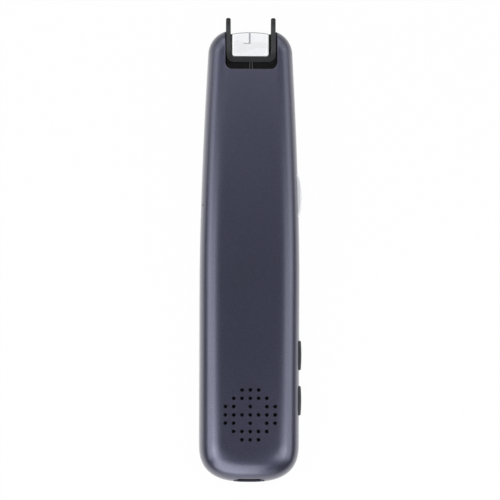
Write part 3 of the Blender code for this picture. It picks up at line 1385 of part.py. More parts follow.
def window_outline(inset):
    """Plan of the clear hood, with a gently bowed front."""
    half = WINDOW_WIDTH / 2 - inset
    rear = FORK_BAR_FRONT_Y + BOND_GAP + inset
    points = [(-half, rear), (half, rear)]
    for step in range(WINDOW_STEPS + 1):
        share = 1 - 2 * step / WINDOW_STEPS
        bow = WINDOW_BULGE * (1 - share * share)
        points.append((half * share, FORK_BAR_FRONT_Y + WINDOW_SIDE_LENGTH - inset + bow))
    return points


def make_nib_window():
    """The clear hollow hood that the camera looks through."""
    base = FORK_BASE_Z + WINDOW_FLOOR_MARGIN
    top = FORK_TOP_Z - WINDOW_ROOF_MARGIN
    shape = bmesh.new()
    add_plate(shape, [window_outline(0)], base, top)
    hood = add_piece("nib_window", finish_mesh(shape, "nib_window"), "clear_plastic", NIB_CENTRE)
    inside = bmesh.new()
    add_plate(inside, [window_outline(WINDOW_WALL)], base + WINDOW_WALL, top - WINDOW_WALL)
    add_boolean(hood, "DIFFERENCE", add_guide("window_inside_cutter", inside))
    opening = bmesh.new()
    reach = Vector((WINDOW_OPENING_WIDTH / 2, 0, WINDOW_OPENING_HEIGHT / 2))
    start = Vector((0, FORK_BAR_Y, (base + top) / 2))
    end = Vector((0, FORK_BAR_FRONT_Y + 2 * WINDOW_WALL, (base + top) / 2))
    add_box(opening, start - reach, end + reach)
    add_boolean(hood, "DIFFERENCE", add_guide("window_opening_cutter", opening))


def nib_switch_z():
    """Height of the middle of the switch on top of the carrier."""
    return DECK_Z + CARRIER_HEIGHT + BOND_GAP + NIB_SWITCH_HEIGHT / 2


def nib_plunger_y():
    """Where the free end of the nib switch's plunger rests."""
    return CARRIER_FRONT_Y + NIB_PLUNGER_SHOW


def make_optics():
    """The carrier behind the nib with its camera, lights, switch and spring seats."""
    shape = bmesh.new()
    half = CARRIER_WIDTH / 2
    low = (-half, CARRIER_REAR_Y, DECK_Z)
    add_box(shape, low, (half, CARRIER_FRONT_Y, DECK_Z + CARRIER_HEIGHT))
    carrier = add_piece("optics_carrier", finish_mesh(shape, "optics_carrier"), "black_plastic")
    pilots = bmesh.new()
    for side in (-1, 1):
        x = side * SPRING_SPACING / 2
        root = (x, CARRIER_FRONT_Y - PILOT_LENGTH, NIB_CENTRE.z)
        end = (x, CARRIER_FRONT_Y + PILOT_LENGTH, NIB_CENTRE.z)
        add_rod(pilots, root, end, PILOT_RADIUS, GRILLE_SIDES)
    add_boolean(carrier, "UNION", add_guide("carrier_pilot_guide", pilots))
    bore = bmesh.new()
    start = (0, CARRIER_REAR_Y - OVERRUN, OPTICAL_Z)
    end = (0, CARRIER_FRONT_Y + OVERRUN, OPTICAL_Z)
    add_rod(bore, start, end, LENS_RADIUS + LENS_HOLE_GAP)
    add_boolean(carrier, "DIFFERENCE", add_guide("carrier_bore_cutter", bore))

    shape = bmesh.new()
    half = CAMERA_WIDTH / 2
    low = (-half, CAMERA_REAR_Y, DECK_Z)
    add_box(shape, low, (half, CAMERA_FRONT_Y, DECK_Z + CAMERA_HEIGHT))
    add_piece("camera_body", finish_mesh(shape, "camera_body"), "chip_black")

    board_rear = CARRIER_FRONT_Y + SEAT_GAP
    board_front = board_rear + LED_BOARD_THICKNESS
    shape = bmesh.new()
    half = LED_BOARD_WIDTH / 2
    rise = LED_BOARD_HEIGHT / 2
    outline = rounded_outline(-half, half, OPTICAL_Z - rise, OPTICAL_Z + rise, SLIDE_GAP)
    hole = circle_outline((0, OPTICAL_Z), LENS_TIP_RADIUS + LENS_HOLE_GAP)
    add_plate(shape, [outline, hole], board_rear, board_front, FACING_Y)
    add_piece("led_board", finish_mesh(shape, "led_board"), "board_green")

    for name, side in (("led_left", -1), ("led_right", 1)):
        middle = Vector((side * LED_SPACING / 2, board_front + BOND_GAP, OPTICAL_Z))
        reach = Vector((LED_SIZE / 2, 0, LED_SIZE / 2))
        shape = bmesh.new()
        add_box(shape, middle - reach, middle + reach + Vector((0, LED_DEPTH, 0)))
        add_piece(name, finish_mesh(shape, name), "switch_white")

    lens_rear = CAMERA_FRONT_Y + BOND_GAP
    barrel = CARRIER_FRONT_Y + BOND_GAP - lens_rear
    length = board_front + LENS_STANDOUT - lens_rear
    profile = (
        (0, length - LENS_STANDOUT),
        (LENS_TIP_RADIUS / 2, length - LENS_STANDOUT),
        (LENS_TIP_RADIUS - SLIDE_GAP, length),
        (LENS_TIP_RADIUS, length),
        (LENS_TIP_RADIUS, barrel),
        (LENS_RADIUS, barrel),
        (LENS_RADIUS, 0),
        (0, 0),
    )
    place = (0, lens_rear, OPTICAL_Z)
    lens = turned_piece("camera_lens", profile, place, "front_glass_black", SMALL_SIDES)
    lens.rotation_euler.x = -QUARTER_TURN

    switch_z = nib_switch_z()
    reach = Vector((NIB_SWITCH_WIDTH / 2, 0, NIB_SWITCH_HEIGHT / 2))
    start = Vector((0, CARRIER_FRONT_Y - NIB_SWITCH_LENGTH, switch_z))
    end = Vector((0, CARRIER_FRONT_Y, switch_z))
    shape = bmesh.new()
    add_box(shape, start - reach, end + reach)
    switch = add_piece("nib_switch", finish_mesh(shape, "nib_switch"), "chip_black")
    plunger_rear = nib_plunger_y() - NIB_PLUNGER_LENGTH
    bore = bmesh.new()
    start = (0, plunger_rear - NIB_TRAVEL - SLIDE_GAP, switch_z)
    end = (0, CARRIER_FRONT_Y + OVERRUN, switch_z)
    add_rod(bore, start, end, NIB_PLUNGER_RADIUS + BOND_GAP)
    add_boolean(switch, "DIFFERENCE", add_guide("nib_switch_bore_cutter", bore))
    shape = bmesh.new()
    start = (0, plunger_rear, switch_z)
    add_rod(shape, start, (0, nib_plunger_y(), switch_z), NIB_PLUNGER_RADIUS, GRILLE_SIDES)
    mesh = finish_mesh(shape, "nib_switch_plunger")
    add_piece("nib_switch_plunger", mesh, "switch_white", NIB_CENTRE)


def make_nib_springs():
    """Two small coil springs between the carrier and the fork."""
    start = CARRIER_FRONT_Y + BOND_GAP + SPRING_WIRE_RADIUS
    end = FORK_REAR_Y - BOND_GAP - SPRING_WIRE_RADIUS
    coil = SPRING_RADIUS - SPRING_WIRE_RADIUS
    count = SPRING_TURNS * SPRING_POINTS
    for name, side in (("nib_spring_left", -1), ("nib_spring_right", 1)):
        points = []
        for index in range(count + 1):
            angle = 2 * math.pi * index / SPRING_POINTS
            x = side * SPRING_SPACING / 2 + coil * math.cos(angle)
            z = NIB_CENTRE.z + coil * math.sin(angle)
            points.append((x, start + (end - start) * index / count, z))
        shape = bmesh.new()
        add_tube(shape, points, SPRING_WIRE_RADIUS)
        add_piece(name, finish_mesh(shape, name), "steel")


def main():
    clear_scene()
    add_collection(COLLECTION_NAME)
    add_collection(GUIDES_NAME)
    add_finishes()
    keys = side_keys()
    notch = add_notch_cutter()
    fork_slot = add_fork_slot()
    make_back_cover(keys, notch, fork_slot)
    make_front_frame(fork_slot)
    make_front_glass()
    make_display()
    make_mid_frame()
    frame_depth = MID_FRAME_THICKNESS + BOND_GAP + SEAT_GAP + SCREW_BITE
    make_screws("frame_screw", frame_screw_places(), COVER_RIM_Z + BOND_GAP, frame_depth)
    make_main_board()
    board_depth = BOARD_THICKNESS + BOND_GAP + SEAT_GAP + BOSS_HEIGHT
    make_screws("board_screw", board_screw_places(), BOARD_TOP_Z + BOND_GAP, board_depth)
    make_battery()
    make_speaker()
    make_tail_board()
    make_socket()
    make_keys(keys)
    make_microphone()
    make_nib_fork()
    make_nib_window()
    make_optics()
    make_nib_springs()


main()
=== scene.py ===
"""Looks of a hand-held scanning pen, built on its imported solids.

The pen lies on its front glass with its back up. X runs across the pen, Y runs from the tail
to the scanning head and Z runs from the glass to the back. Lengths are in metres.
"""

from __future__ import annotations

import logging
import math
from abc import ABC, abstractmethod
from collections.abc import Callable, Iterable, Sequence
from dataclasses import dataclass, field
from enum import Enum

import bmesh
import bpy
from mathutils import Matrix, Vector


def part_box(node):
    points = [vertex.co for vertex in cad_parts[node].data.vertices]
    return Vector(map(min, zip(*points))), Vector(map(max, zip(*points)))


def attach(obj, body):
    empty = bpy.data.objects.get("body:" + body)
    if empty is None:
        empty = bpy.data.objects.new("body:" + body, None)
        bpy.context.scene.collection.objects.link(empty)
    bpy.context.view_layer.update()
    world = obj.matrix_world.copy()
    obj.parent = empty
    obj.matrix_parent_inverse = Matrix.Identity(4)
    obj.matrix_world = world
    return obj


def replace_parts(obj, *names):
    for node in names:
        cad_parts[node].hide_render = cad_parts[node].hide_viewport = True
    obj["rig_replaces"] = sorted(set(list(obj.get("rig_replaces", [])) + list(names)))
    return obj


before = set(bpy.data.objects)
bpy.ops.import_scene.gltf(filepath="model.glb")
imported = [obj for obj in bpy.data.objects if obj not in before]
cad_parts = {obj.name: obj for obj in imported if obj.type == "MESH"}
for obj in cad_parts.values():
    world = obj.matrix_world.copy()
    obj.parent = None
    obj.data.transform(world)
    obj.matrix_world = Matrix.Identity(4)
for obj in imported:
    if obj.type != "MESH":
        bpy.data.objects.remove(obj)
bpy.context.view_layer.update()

Point = tuple[float, float]
Colour = tuple[float, float, float]
Piece = bpy.types.Object
Socket = bpy.types.NodeSocket
Edge = bmesh.types.BMEdge

QUARTER_TURN = math.pi / 2
# Points closer than this become one.
WELD_DISTANCE = 0.000002
# How far a cutter passes the surface that it opens.
OVERRUN = 0.001
# A face looks along an axis when this much of its normal does.
FACES_AXIS = 0.9
# Half the distance between the points of a slot's straight sides.
SLOT_STEP = 0.0003

log = logging.getLogger("scanning_pen")


class Side(Enum):
    """The two sides of the pen, seen from its back with the nib up."""

    LEFT = -1
    RIGHT = 1


class Facing(Enum):
    """Turns a shape drawn flat on the bench, with its thickness along Z, to face an axis."""

    UP = Matrix.Identity(4)
    ACROSS = Matrix(((0, 0, 1, 0), (1, 0, 0, 0), (0, 1, 0, 0), (0, 0, 0, 1)))
    ALONG = Matrix(((1, 0, 0, 0), (0, 0, 1, 0), (0, 1, 0, 0), (0, 0, 0, 1)))


class Axis(Enum):
    """Turns that lay a cylinder along an axis."""

    X = (0, QUARTER_TURN, 0)
    Y = (QUARTER_TURN, 0, 0)
    Z = (0, 0, 0)


class Value:
    """A number in a material's node tree. Python's operators on it add Math nodes."""

    def __init__(self, graph: Graph, socket: Socket) -> None:
        """Wraps a socket.

        Args:
            graph: The material that the socket belongs to.
            socket: The output that carries the number.
        """
        self.graph = graph
        self.socket = socket

    def __add__(self, other: Value | float) -> Value:
        """Sum of two numbers."""
        return self.graph.math("ADD", self, other)

    def __radd__(self, other: float) -> Value:
        """Sum with a plain number on the left."""
        return self.graph.math("ADD", other, self)

    def __sub__(self, other: Value | float) -> Value:
        """Difference of two numbers."""
        return self.graph.math("SUBTRACT", self, other)

    def __rsub__(self, other: float) -> Value:
        """Difference from a plain number."""
        return self.graph.math("SUBTRACT", other, self)

    def __mul__(self, other: Value | float) -> Value:
        """Product of two numbers."""
        return self.graph.math("MULTIPLY", self, other)

    def __rmul__(self, other: float) -> Value:
        """Product with a plain number on the left."""
        return self.graph.math("MULTIPLY", other, self)

    def __truediv__(self, other: Value | float) -> Value:
        """Quotient of two numbers."""
        return self.graph.math("DIVIDE", self, other)

    def __pow__(self, power: float) -> Value:
        """The number raised to a power."""
        return self.graph.math("POWER", self, power)

    def __abs__(self) -> Value:
        """The number without its sign."""
        return self.graph.math("ABSOLUTE", self)

    def sine(self) -> Value:
        """Sine of the number, in radians."""
        return self.graph.math("SINE", self)

    def fraction(self) -> Value:
        """What is left of the number past its whole part."""
        return self.graph.math("FRACT", self)

    def swing(self, reach: float) -> Value:
        """A share of 0 to 1 turned into a swing round zero."""
        return (self - 0.5) * reach

    def larger(self, other: Value | float) -> Value:
        """The larger of two numbers."""
        return self.graph.math("MAXIMUM", self, other)

    def step(self, low: float, high: float) -> Value:
        """A soft step from 0 to 1.

        Args:
            low: Where the step starts.
            high: Where it has reached 1.

        Returns:
            The stepped number.
        """
        inputs = {"Value": self, "From Min": low, "From Max": high}
        settings = {"interpolation_type": "SMOOTHSTEP"}
        ranged = self.graph.node("ShaderNodeMapRange", settings, inputs)
        return Value(self.graph, ranged.outputs["Result"])


Input = Value | Socket | float | Sequence[float]


class Graph:
    """The node tree of one material, with a Principled shader on its output."""

    def __init__(self, name: str) -> None:
        """Starts a material.

        Args:
            name: The finish's name.
        """
        self.material = bpy.data.materials.new(name)
        self.material.use_nodes = True
        self.tree = self.material.node_tree
        self.shader = self.tree.nodes["Principled BSDF"]
        self.output = self.tree.nodes["Material Output"]

    def node(
        self,
        kind: str,
        settings: dict[str, object] | None = None,
        inputs: dict[str | int, Input] | None = None,
    ) -> bpy.types.Node:
        """Adds a node, sets it up, and then fills or links its sockets.

        Args:
            kind: The node's type.
            settings: Properties by name, which are set first.
            inputs: Values or links by socket name or number.

        Returns:
            The new node.
        """
        node = self.tree.nodes.new(kind)
        for name, setting in (settings or {}).items():
            setattr(node, name, setting)
        for key, value in (inputs or {}).items():
            self.feed(node.inputs[key], value)
        return node

    def feed(self, socket: Socket, value: Input) -> None:
        """Links or sets one socket.

        Args:
            socket: The input to fill.
            value: A wrapped number, a socket, or a plain value.
        """
        if isinstance(value, Value):
            self.tree.links.new(value.socket, socket)
        elif isinstance(value, Socket):
            self.tree.links.new(value, socket)
        elif isinstance(value, (int, float)):
            socket.default_value = value
        elif socket.type == "RGBA":
            socket.default_value = (*value, 1)
        else:
            socket.default_value = tuple(value)

    def math(self, operation: str, *numbers: Value | float) -> Value:
        """Adds a Math node.

        Args:
            operation: What it works out.
            numbers: What it works on.

        Returns:
            The result.
        """
        node = self.node("ShaderNodeMath", {"operation": operation}, dict(enumerate(numbers)))
        return Value(self, node.outputs[0])

    def place(self, scale: Sequence[float] = (1, 1, 1)) -> Socket:
        """Places on the object, in metres, through a Mapping node.

        Args:
            scale: Stretch along each axis.

        Returns:
            The mapped place.
        """
        start = self.node("ShaderNodeTexCoord").outputs["Object"]
        inputs = {"Vector": start, "Scale": scale}
        return self.node("ShaderNodeMapping", None, inputs).outputs["Vector"]

    def axes(self, place: Socket) -> tuple[Value, Value, Value]:
        """Splits a place into its three numbers."""
        parts = self.node("ShaderNodeSeparateXYZ", None, {0: place}).outputs
        return Value(self, parts[0]), Value(self, parts[1]), Value(self, parts[2])

    def noise(
        self,
        place: Socket,
        scale: float,
        detail: float = 2.0,
        roughness: float = 0.5,
    ) -> Value:
        """Cloudy noise from 0 to 1 about a half.

        Args:
            place: Where the noise is read.
            scale: Features in one metre.
            detail: Octaves of finer noise.
            roughness: How strong the finer noise is.

        Returns:
            The noise.
        """
        inputs = {"Vector": place, "Scale": scale, "Detail": detail, "Roughness": roughness}
        return Value(self, self.node("ShaderNodeTexNoise", None, inputs).outputs[0])

    def cells(self, place: Socket, scale: float) -> tuple[Value, Value]:
        """Random small cells.

        Args:
            place: Where the cells are read.
            scale: Cells in one metre.

        Returns:
            Distance to the nearest cell's middle, and a random number for each cell.
        """
        node = self.node("ShaderNodeTexVoronoi", None, {"Vector": place, "Scale": scale})
        random = self.node("ShaderNodeSeparateColor", None, {0: node.outputs["Color"]})
        return Value(self, node.outputs["Distance"]), Value(self, random.outputs[0])

    def mix(self, low: Input, high: Input, factor: Value) -> Socket:
        """Mixes two colours.

        Args:
            low: Colour where the factor is 0.
            high: Colour where the factor is 1.
            factor: The share of the second colour.

        Returns:
            The mixed colour.
        """
        settings = {"data_type": "RGBA"}
        node = self.node("ShaderNodeMix", settings, {0: factor, 6: low, 7: high})
        return node.outputs[2]

    def bump(
        self, height: Value, depth: float, under: Socket | None = None
    ) -> Socket:
        """A bumped normal.

        Args:
            height: The relief, as shares of the depth.
            depth: Depth of the relief, in metres.
            under: A normal that this one is laid on.

        Returns:
            The normal.
        """
        inputs = {"Height": height, "Distance": depth, "Strength": 1.0}
        if under is not None:
            inputs["Normal"] = under
        return self.node("ShaderNodeBump", None, inputs).outputs["Normal"]

    def dress(self, **inputs: Input) -> bpy.types.Material:
        """Fills the Principled shader and hands out the material.

        Args:
            inputs: Values or links by socket name, with underscores for spaces.

        Returns:
            The finished material.
        """
        for name, value in inputs.items():
            self.feed(self.shader.inputs[name.replace("_", " ")], value)
        return self.material


class SkyGraph(Graph):
    """The node tree of the world."""

    def __init__(self, world: bpy.types.World) -> None:
        """Takes over the world's node tree."""
        world.use_nodes = True
        self.tree = world.node_tree


def toned(colour: Colour, share: float) -> Colour:
    """A colour made darker, or lighter by a share above one."""
    return tuple(share * part for part in colour)


@dataclass(frozen=True)
class Finish(ABC):
    """A procedural finish, made once and shared by the pieces that have it."""

    name: str

    @abstractmethod
    def make(self, graph: Graph) -> bpy.types.Material:
        """Fills a new material.

        Args:
            graph: The material's node tree.

        Returns:
            The finished material.
        """

    def tone(self, graph: Graph, colour: Socket) -> Socket:
        """The colour, which a special finish can vary by place."""
        return colour

    def material(self) -> bpy.types.Material:
        """The finish's material, made on first use."""
        made = bpy.data.materials.get(self.name)
        return made if made is not None else self.make(Graph(self.name))


@dataclass(frozen=True)
class MetallicPaint(Finish):
    """Matt paint with fine metal flakes over a faint orange peel."""

    colour: Colour
    flake_colour: Colour
    roughness: float
    metallic: float
    flakes: float = 9000.0
    peel: float = 420.0
    coat: float = 0.0
    clouds: float = 55.0
    grain: float = 0.55
    flake_share: Point = (0.72, 1.0)
    flake_strength: float = 0.55
    flake_metallic: float = 0.15
    flake_depth: float = 0.0000042
    peel_depth: float = 0.0000016
    wear: float = 0.12
    worn_tone: float = 1.12
    unevenness: Point = (0.06, 0.10)
    coat_roughness: float = 0.25
    coat_index: float = 1.7

    def make(self, graph: Graph) -> bpy.types.Material:
        """Mixes flakes into the colour and the roughness, with a fine relief.

        Args:
            graph: The material's node tree.

        Returns:
            The finished material.
        """
        place = graph.place()
        near, flake = graph.cells(place, self.flakes)
        cloud = graph.noise(place, self.clouds, 3)
        grain = graph.noise(place, self.flakes * self.grain, 2)
        shine = flake.step(*self.flake_share)
        shade = graph.mix(self.colour, self.flake_colour, shine * self.flake_strength)
        worn = cloud.swing(self.wear).larger(0)
        broad, fine = self.unevenness
        roughness = self.roughness + cloud.swing(broad) + grain.swing(fine)
        peel = graph.bump(graph.noise(place, self.peel, 1), self.peel_depth)
        normal = graph.bump(grain * 0.6 + near * 0.4, self.flake_depth, peel)
        return graph.dress(
            Base_Color=graph.mix(shade, toned(self.colour, self.worn_tone), worn),
            Metallic=self.metallic + shine * self.flake_metallic,
            Roughness=roughness,
            Coat_Weight=self.coat,
            Coat_Roughness=self.coat_roughness,
            Coat_IOR=self.coat_index,
            Normal=normal,
        )


@dataclass(frozen=True)
class MouldedPlastic(Finish):
    """Moulded plastic with an eroded tool texture and slight handling marks."""

    colour: Colour
    rub_colour: Colour
    roughness: float
    grain: float = 5200.0
    depth: float = 0.000009
    grit: float = 0.16
    patches: float = 130.0
    patch_share: Point = (0.48, 0.74)
    patch_gloss: float = 0.07

    def gloss(self, graph: Graph, rough: Value) -> Value:
        """The roughness, which a special finish can vary by place."""
        return rough

    def make(self, graph: Graph) -> bpy.types.Material:
        """Lays the tool texture in the relief and rubs it smoother in soft patches.

        Args:
            graph: The material's node tree.

        Returns:
            The finished material.
        """
        place = graph.place()
        pits, _ = graph.cells(place, self.grain)
        fine = graph.noise(place, self.grain * 1.7, 3)
        rub = graph.noise(place, self.patches, 4, 0.6).step(*self.patch_share)
        relief = pits * 0.6 + fine * 0.4
        colour = graph.mix(self.colour, self.rub_colour, rub * 0.5 + fine * 0.3)
        rough = self.roughness + fine.swing(self.grit) - rub * self.patch_gloss
        return graph.dress(
            Base_Color=self.tone(graph, colour),
            Roughness=self.gloss(graph, rough),
            Normal=graph.bump(relief, self.depth),
        )


@dataclass(frozen=True)
class ClearPlastic(Finish):
    """Polished clear plastic with faint flow lines from its mould."""

    tint: Colour
    roughness: float
    index: float = 1.49
    flow: float = 520.0
    flow_tone: float = 0.98
    flow_depth: float = 0.0000006
    dust: float = 2600.0
    dust_share: Point = (0.62, 0.78)
    dust_haze: float = 0.05

    def shade(self, graph: Graph, flow: Value) -> Socket:
        """The tint, a little deeper along the flow lines."""
        return graph.mix(self.tint, toned(self.tint, self.flow_tone), flow)

    def make(self, graph: Graph) -> bpy.types.Material:
        """Sets a transparent body and marks its surface with weak flow lines.

        Args:
            graph: The material's node tree.

        Returns:
            The finished material.
        """
        place = graph.place((1, 0.25, 1))
        flow = graph.noise(place, self.flow, 3)
        dust = graph.noise(graph.place(), self.dust, 2).step(*self.dust_share)
        return graph.dress(
            Base_Color=self.shade(graph, flow),
            Roughness=self.roughness + dust * self.dust_haze,
            IOR=self.index,
            Transmission_Weight=1.0,
            Normal=graph.bump(flow, self.flow_depth),
        )


@dataclass(frozen=True)
class BackedGlass(Finish):
    """Polished glass over a black print, with the darker field of a display behind it."""

    colour: Colour
    field_colour: Colour
    field_low: Point
    field_high: Point
    field_edge: Point = (0.992, 1.0)
    smears: float = 70.0
    smear_share: Point = (0.45, 0.85)
    smear_haze: float = 0.09
    roughness: float = 0.035
    coat: float = 0.6
    waves: float = 40.0
    wave_depth: float = 0.0000006

    def make(self, graph: Graph) -> bpy.types.Material:
        """Shades the display's field and puts faint smears on the gloss.

        Args:
            graph: The material's node tree.

        Returns:
            The finished material.
        """
        place = graph.place()
        x, y, _ = graph.axes(place)
        (left, near), (right, far) = self.field_low, self.field_high
        across = abs(x - (left + right) / 2) / ((right - left) / 2)
        along = abs(y - (near + far) / 2) / ((far - near) / 2)
        inside = 1 - across.larger(along).step(*self.field_edge)
        smear = graph.noise(graph.place((1, 0.35, 1)), self.smears, 4, 0.6)
        return graph.dress(
            Base_Color=graph.mix(self.colour, self.field_colour, inside),
            Roughness=self.roughness + smear.step(*self.smear_share) * self.smear_haze,
            Coat_Weight=self.coat,
            Normal=graph.bump(graph.noise(place, self.waves, 1), self.wave_depth),
        )


@dataclass(frozen=True)
class BrushedMetal(Finish):
    """Bare metal with fine lines drawn along one axis."""

    colour: Colour
    roughness: float
    lines: Sequence[float] = (1.0, 0.02, 1.0)
    count: float = 9000.0
    depth: float = 0.0000025
    stains: float = 260.0
    stain_tone: float = 0.72
    unevenness: Point = (0.22, 0.08)

    def make(self, graph: Graph) -> bpy.types.Material:
        """Stretches noise into lines and lets it vary shade, gloss and relief.

        Args:
            graph: The material's node tree.

        Returns:
            The finished material.
        """
        lines = graph.noise(graph.place(self.lines), self.count, 3, 0.6)
        stain_and_shade = graph.noise(graph.place(), self.stains, 3)
        dark = toned(self.colour, self.stain_tone)
        colour = graph.mix(dark, self.colour, lines * 0.5 + stain_and_shade * 0.6)
        fine, broad = self.unevenness
        return graph.dress(
            Base_Color=self.tone(graph, colour),
            Metallic=1.0,
            Roughness=self.roughness + lines.swing(fine) + stain_and_shade.swing(broad),
            Normal=graph.bump(lines, self.depth),
        )


@dataclass(frozen=True)
class ShellSteel(BrushedMetal):
    """Steel of the socket's shell, with painted shade over its top; only its rounded sides keep
    the steel's own colour.
    """

    # Colour of the painted shade over the shell between its sides.
    stain_and_shade: Colour = (0.014, 0.014, 0.018)
    side_x: Point = (0.00392, 0.00412)

    def tone(self, graph: Graph, colour: Socket) -> Socket:
        """Paints shade over the shell and keeps the steel's own colour at its sides only."""
        across, _, _ = graph.axes(graph.place())
        return graph.mix(self.stain_and_shade, colour, abs(across).step(*self.side_x))


@dataclass(frozen=True)
class CircuitBoard(Finish):
    """Solder mask with copper tracks under it and their slight relief."""

    colour: Colour
    track_colour: Colour
    pitch: float = 0.0011
    slant: float = 0.5
    bends: float = 150.0
    bend_reach: float = 0.006
    track_share: Point = (0.10, 0.20)
    patches: float = 420.0
    patch_share: Point = (0.35, 0.45)
    roughness: float = 0.38
    copper_gloss: float = 0.08
    coat: float = 0.35
    depth: float = 0.000012

    def make(self, graph: Graph) -> bpy.types.Material:
        """Draws tracks that wander between straight runs.

        Args:
            graph: The material's node tree.

        Returns:
            The finished material.
        """
        place = graph.place()
        x, y, _ = graph.axes(place)
        bend = graph.noise(place, self.bends, 0)
        run = (x + y * self.slant + bend * self.bend_reach) / self.pitch
        track = 1 - abs(run.fraction() - 0.5).step(*self.track_share)
        _, patch = graph.cells(place, self.patches)
        copper = track * patch.step(*self.patch_share)
        return graph.dress(
            Base_Color=graph.mix(self.colour, self.track_colour, copper),
            Roughness=self.roughness - copper * self.copper_gloss,
            Coat_Weight=self.coat,
            Normal=graph.bump(copper, self.depth),
        )


@dataclass(frozen=True)
class FlatCable(Finish):
    """Amber film with parallel copper tracks."""

    colour: Colour
    track_colour: Colour
    pitch: float = 0.0005
    track_share: Point = (0.16, 0.24)
    clouds: float = 380.0
    cloud_haze: float = 0.14
    roughness: float = 0.26
    depth: float = 0.000009

    def make(self, graph: Graph) -> bpy.types.Material:
        """Lays even tracks under a glossy film.

        Args:
            graph: The material's node tree.

        Returns:
            The finished material.
        """
        place = graph.place()
        x, _, z = graph.axes(place)
        track = 1 - abs(((x + z) / self.pitch).fraction() - 0.5).step(*self.track_share)
        cloud = graph.noise(place, self.clouds, 2)
        return graph.dress(
            Base_Color=graph.mix(self.colour, self.track_colour, track),
            Roughness=self.roughness + cloud * self.cloud_haze,
            Normal=graph.bump(track, self.depth),
        )


@dataclass(frozen=True)
class WovenMesh(Finish):
    """Black dust cloth woven of fine threads."""

    colour: Colour
    thread_colour: Colour
    pitch: float = 0.00022
    roughness: float = 0.85
    thread_gloss: float = 0.15
    depth: float = 0.00004

    def make(self, graph: Graph) -> bpy.types.Material:
        """Crosses two sets of round threads.

        Args:
            graph: The material's node tree.

        Returns:
            The finished material.
        """
        x, y, _ = graph.axes(graph.place())
        turns = 2 * math.pi / self.pitch
        warp = (x * turns).sine() * 0.5 + 0.5
        weft = (y * turns).sine() * 0.5 + 0.5
        weave = warp.larger(weft)
        return graph.dress(
            Base_Color=graph.mix(self.colour, self.thread_colour, weave),
            Roughness=self.roughness - weave * self.thread_gloss,
            Normal=graph.bump(weave, self.depth),
        )


@dataclass(frozen=True)
class Lamp(Finish):
    """A small light with a phosphor dot under a clear dome."""

    middle: Point
    colour: Colour = (0.8, 0.8, 0.76)
    phosphor: Colour = (0.85, 0.62, 0.10)
    radius: float = 0.0005
    edge: float = 0.9
    grain: float = 9000.0
    grit: float = 0.1
    roughness: float = 0.35
    dot_gloss: float = 0.15
    depth: float = 0.00006

    def make(self, graph: Graph) -> bpy.types.Material:
        """Puts a yellow dot in the middle of a white case.

        Args:
            graph: The material's node tree.

        Returns:
            The finished material.
        """
        x, _, z = graph.axes(graph.place())
        off_x, off_z = x - self.middle[0], z - self.middle[1]
        distance = (off_x * off_x + off_z * off_z) ** 0.5
        dot = 1 - distance.step(self.edge * self.radius, self.radius)
        grain = graph.noise(graph.place(), self.grain, 2)
        return graph.dress(
            Base_Color=graph.mix(self.colour, self.phosphor, dot),
            Roughness=self.roughness + grain * self.grit - dot * self.dot_gloss,
            Normal=graph.bump(dot, self.depth),
        )


@dataclass(frozen=True)
class HoodPlastic(ClearPlastic):
    """Clear plastic with painted grey shade along its bowed front, where it is seen on edge."""

    # Grey of the painted shade along the front, where the wall is seen on edge.
    edge_shade_colour: Colour = (0.30, 0.31, 0.33)
    edge_depth: float = 0.00040
    edge_start: float = 0.8
    centre_x: float = -0.00022
    half: float = 0.00615
    side_y: float = 0.0731
    bulge: float = 0.0005

    def shade(self, graph: Graph, flow: Value) -> Socket:
        """Paints grey shade into the front edge of the clear body."""
        x, y, _ = graph.axes(graph.place())
        share = (x - self.centre_x) / self.half
        depth = self.side_y + self.bulge * (1 - share * share) - y
        # Share of the painted shade along the front edge.
        edge = 1 - depth.step(self.edge_depth * self.edge_start, self.edge_depth)
        return graph.mix(super().shade(graph, flow), self.edge_shade_colour, edge)


@dataclass(frozen=True)
class NibPlastic(MouldedPlastic):
    """Matt black plastic with a polished deck behind the bar, painted dark as shade, and painted
    highlights along the rib's lips.
    """

    # Colour of the painted highlight along the two lips of the rib.
    rib_highlight_colour: Colour = (0.085, 0.083, 0.083)
    rib_half: float = 0.00075
    rib_end_y: float = 0.0634
    # Colour of the painted shade on the deck behind the bar.
    deck_shade_colour: Colour = (0.0050, 0.0049, 0.0050)
    deck_end_y: float = 0.0650
    deck_top_z: float = 0.00915
    deck_gloss: float = 0.22
    arm_colour: Colour = (0.0100, 0.0098, 0.0102)
    arm_start_y: Point = (0.0660, 0.0675)
    soft_x: float = 0.00002
    soft_y: float = 0.00004
    soft_z: float = 0.00003

    def _low(self, z: Value) -> Value:
        """Share that tells the deck's height from the bar's."""
        return 1 - z.step(self.deck_top_z - self.soft_z, self.deck_top_z + self.soft_z)

    def _deck(self, y: Value, z: Value) -> Value:
        """Share that is one on the deck behind the bar."""
        rear, front = self.deck_end_y - self.soft_y, self.deck_end_y + self.soft_y
        return (1 - y.step(rear, front)) * self._low(z)

    def tone(self, graph: Graph, colour: Socket) -> Socket:
        """Paints shade on the deck, darkens the arms, and paints highlights on the rib's lips.

        Args:
            graph: The graph to use.
            colour: The plain colour.

        Returns:
            The colour by place.
        """
        x, y, z = graph.axes(graph.place())
        arms = graph.mix(colour, self.arm_colour, y.step(*self.arm_start_y))
        along = 1 - y.step(self.rib_end_y, self.rib_end_y + self.soft_y)
        middle = 1 - abs(x).step(self.rib_half, self.rib_half + self.soft_x)
        # The rib's lips, which get a painted highlight.
        lip_highlight = along * middle * (1 - self._low(z))
        # Painted shade on the deck behind the bar.
        body = graph.mix(arms, self.deck_shade_colour, self._deck(y, z))
        return graph.mix(body, self.rib_highlight_colour, lip_highlight)

    def gloss(self, graph: Graph, rough: Value) -> Value:
        """Polishes the deck."""
        _, y, z = graph.axes(graph.place())
        deck = self._deck(y, z)
        return rough * (1 - deck) + deck * self.deck_gloss


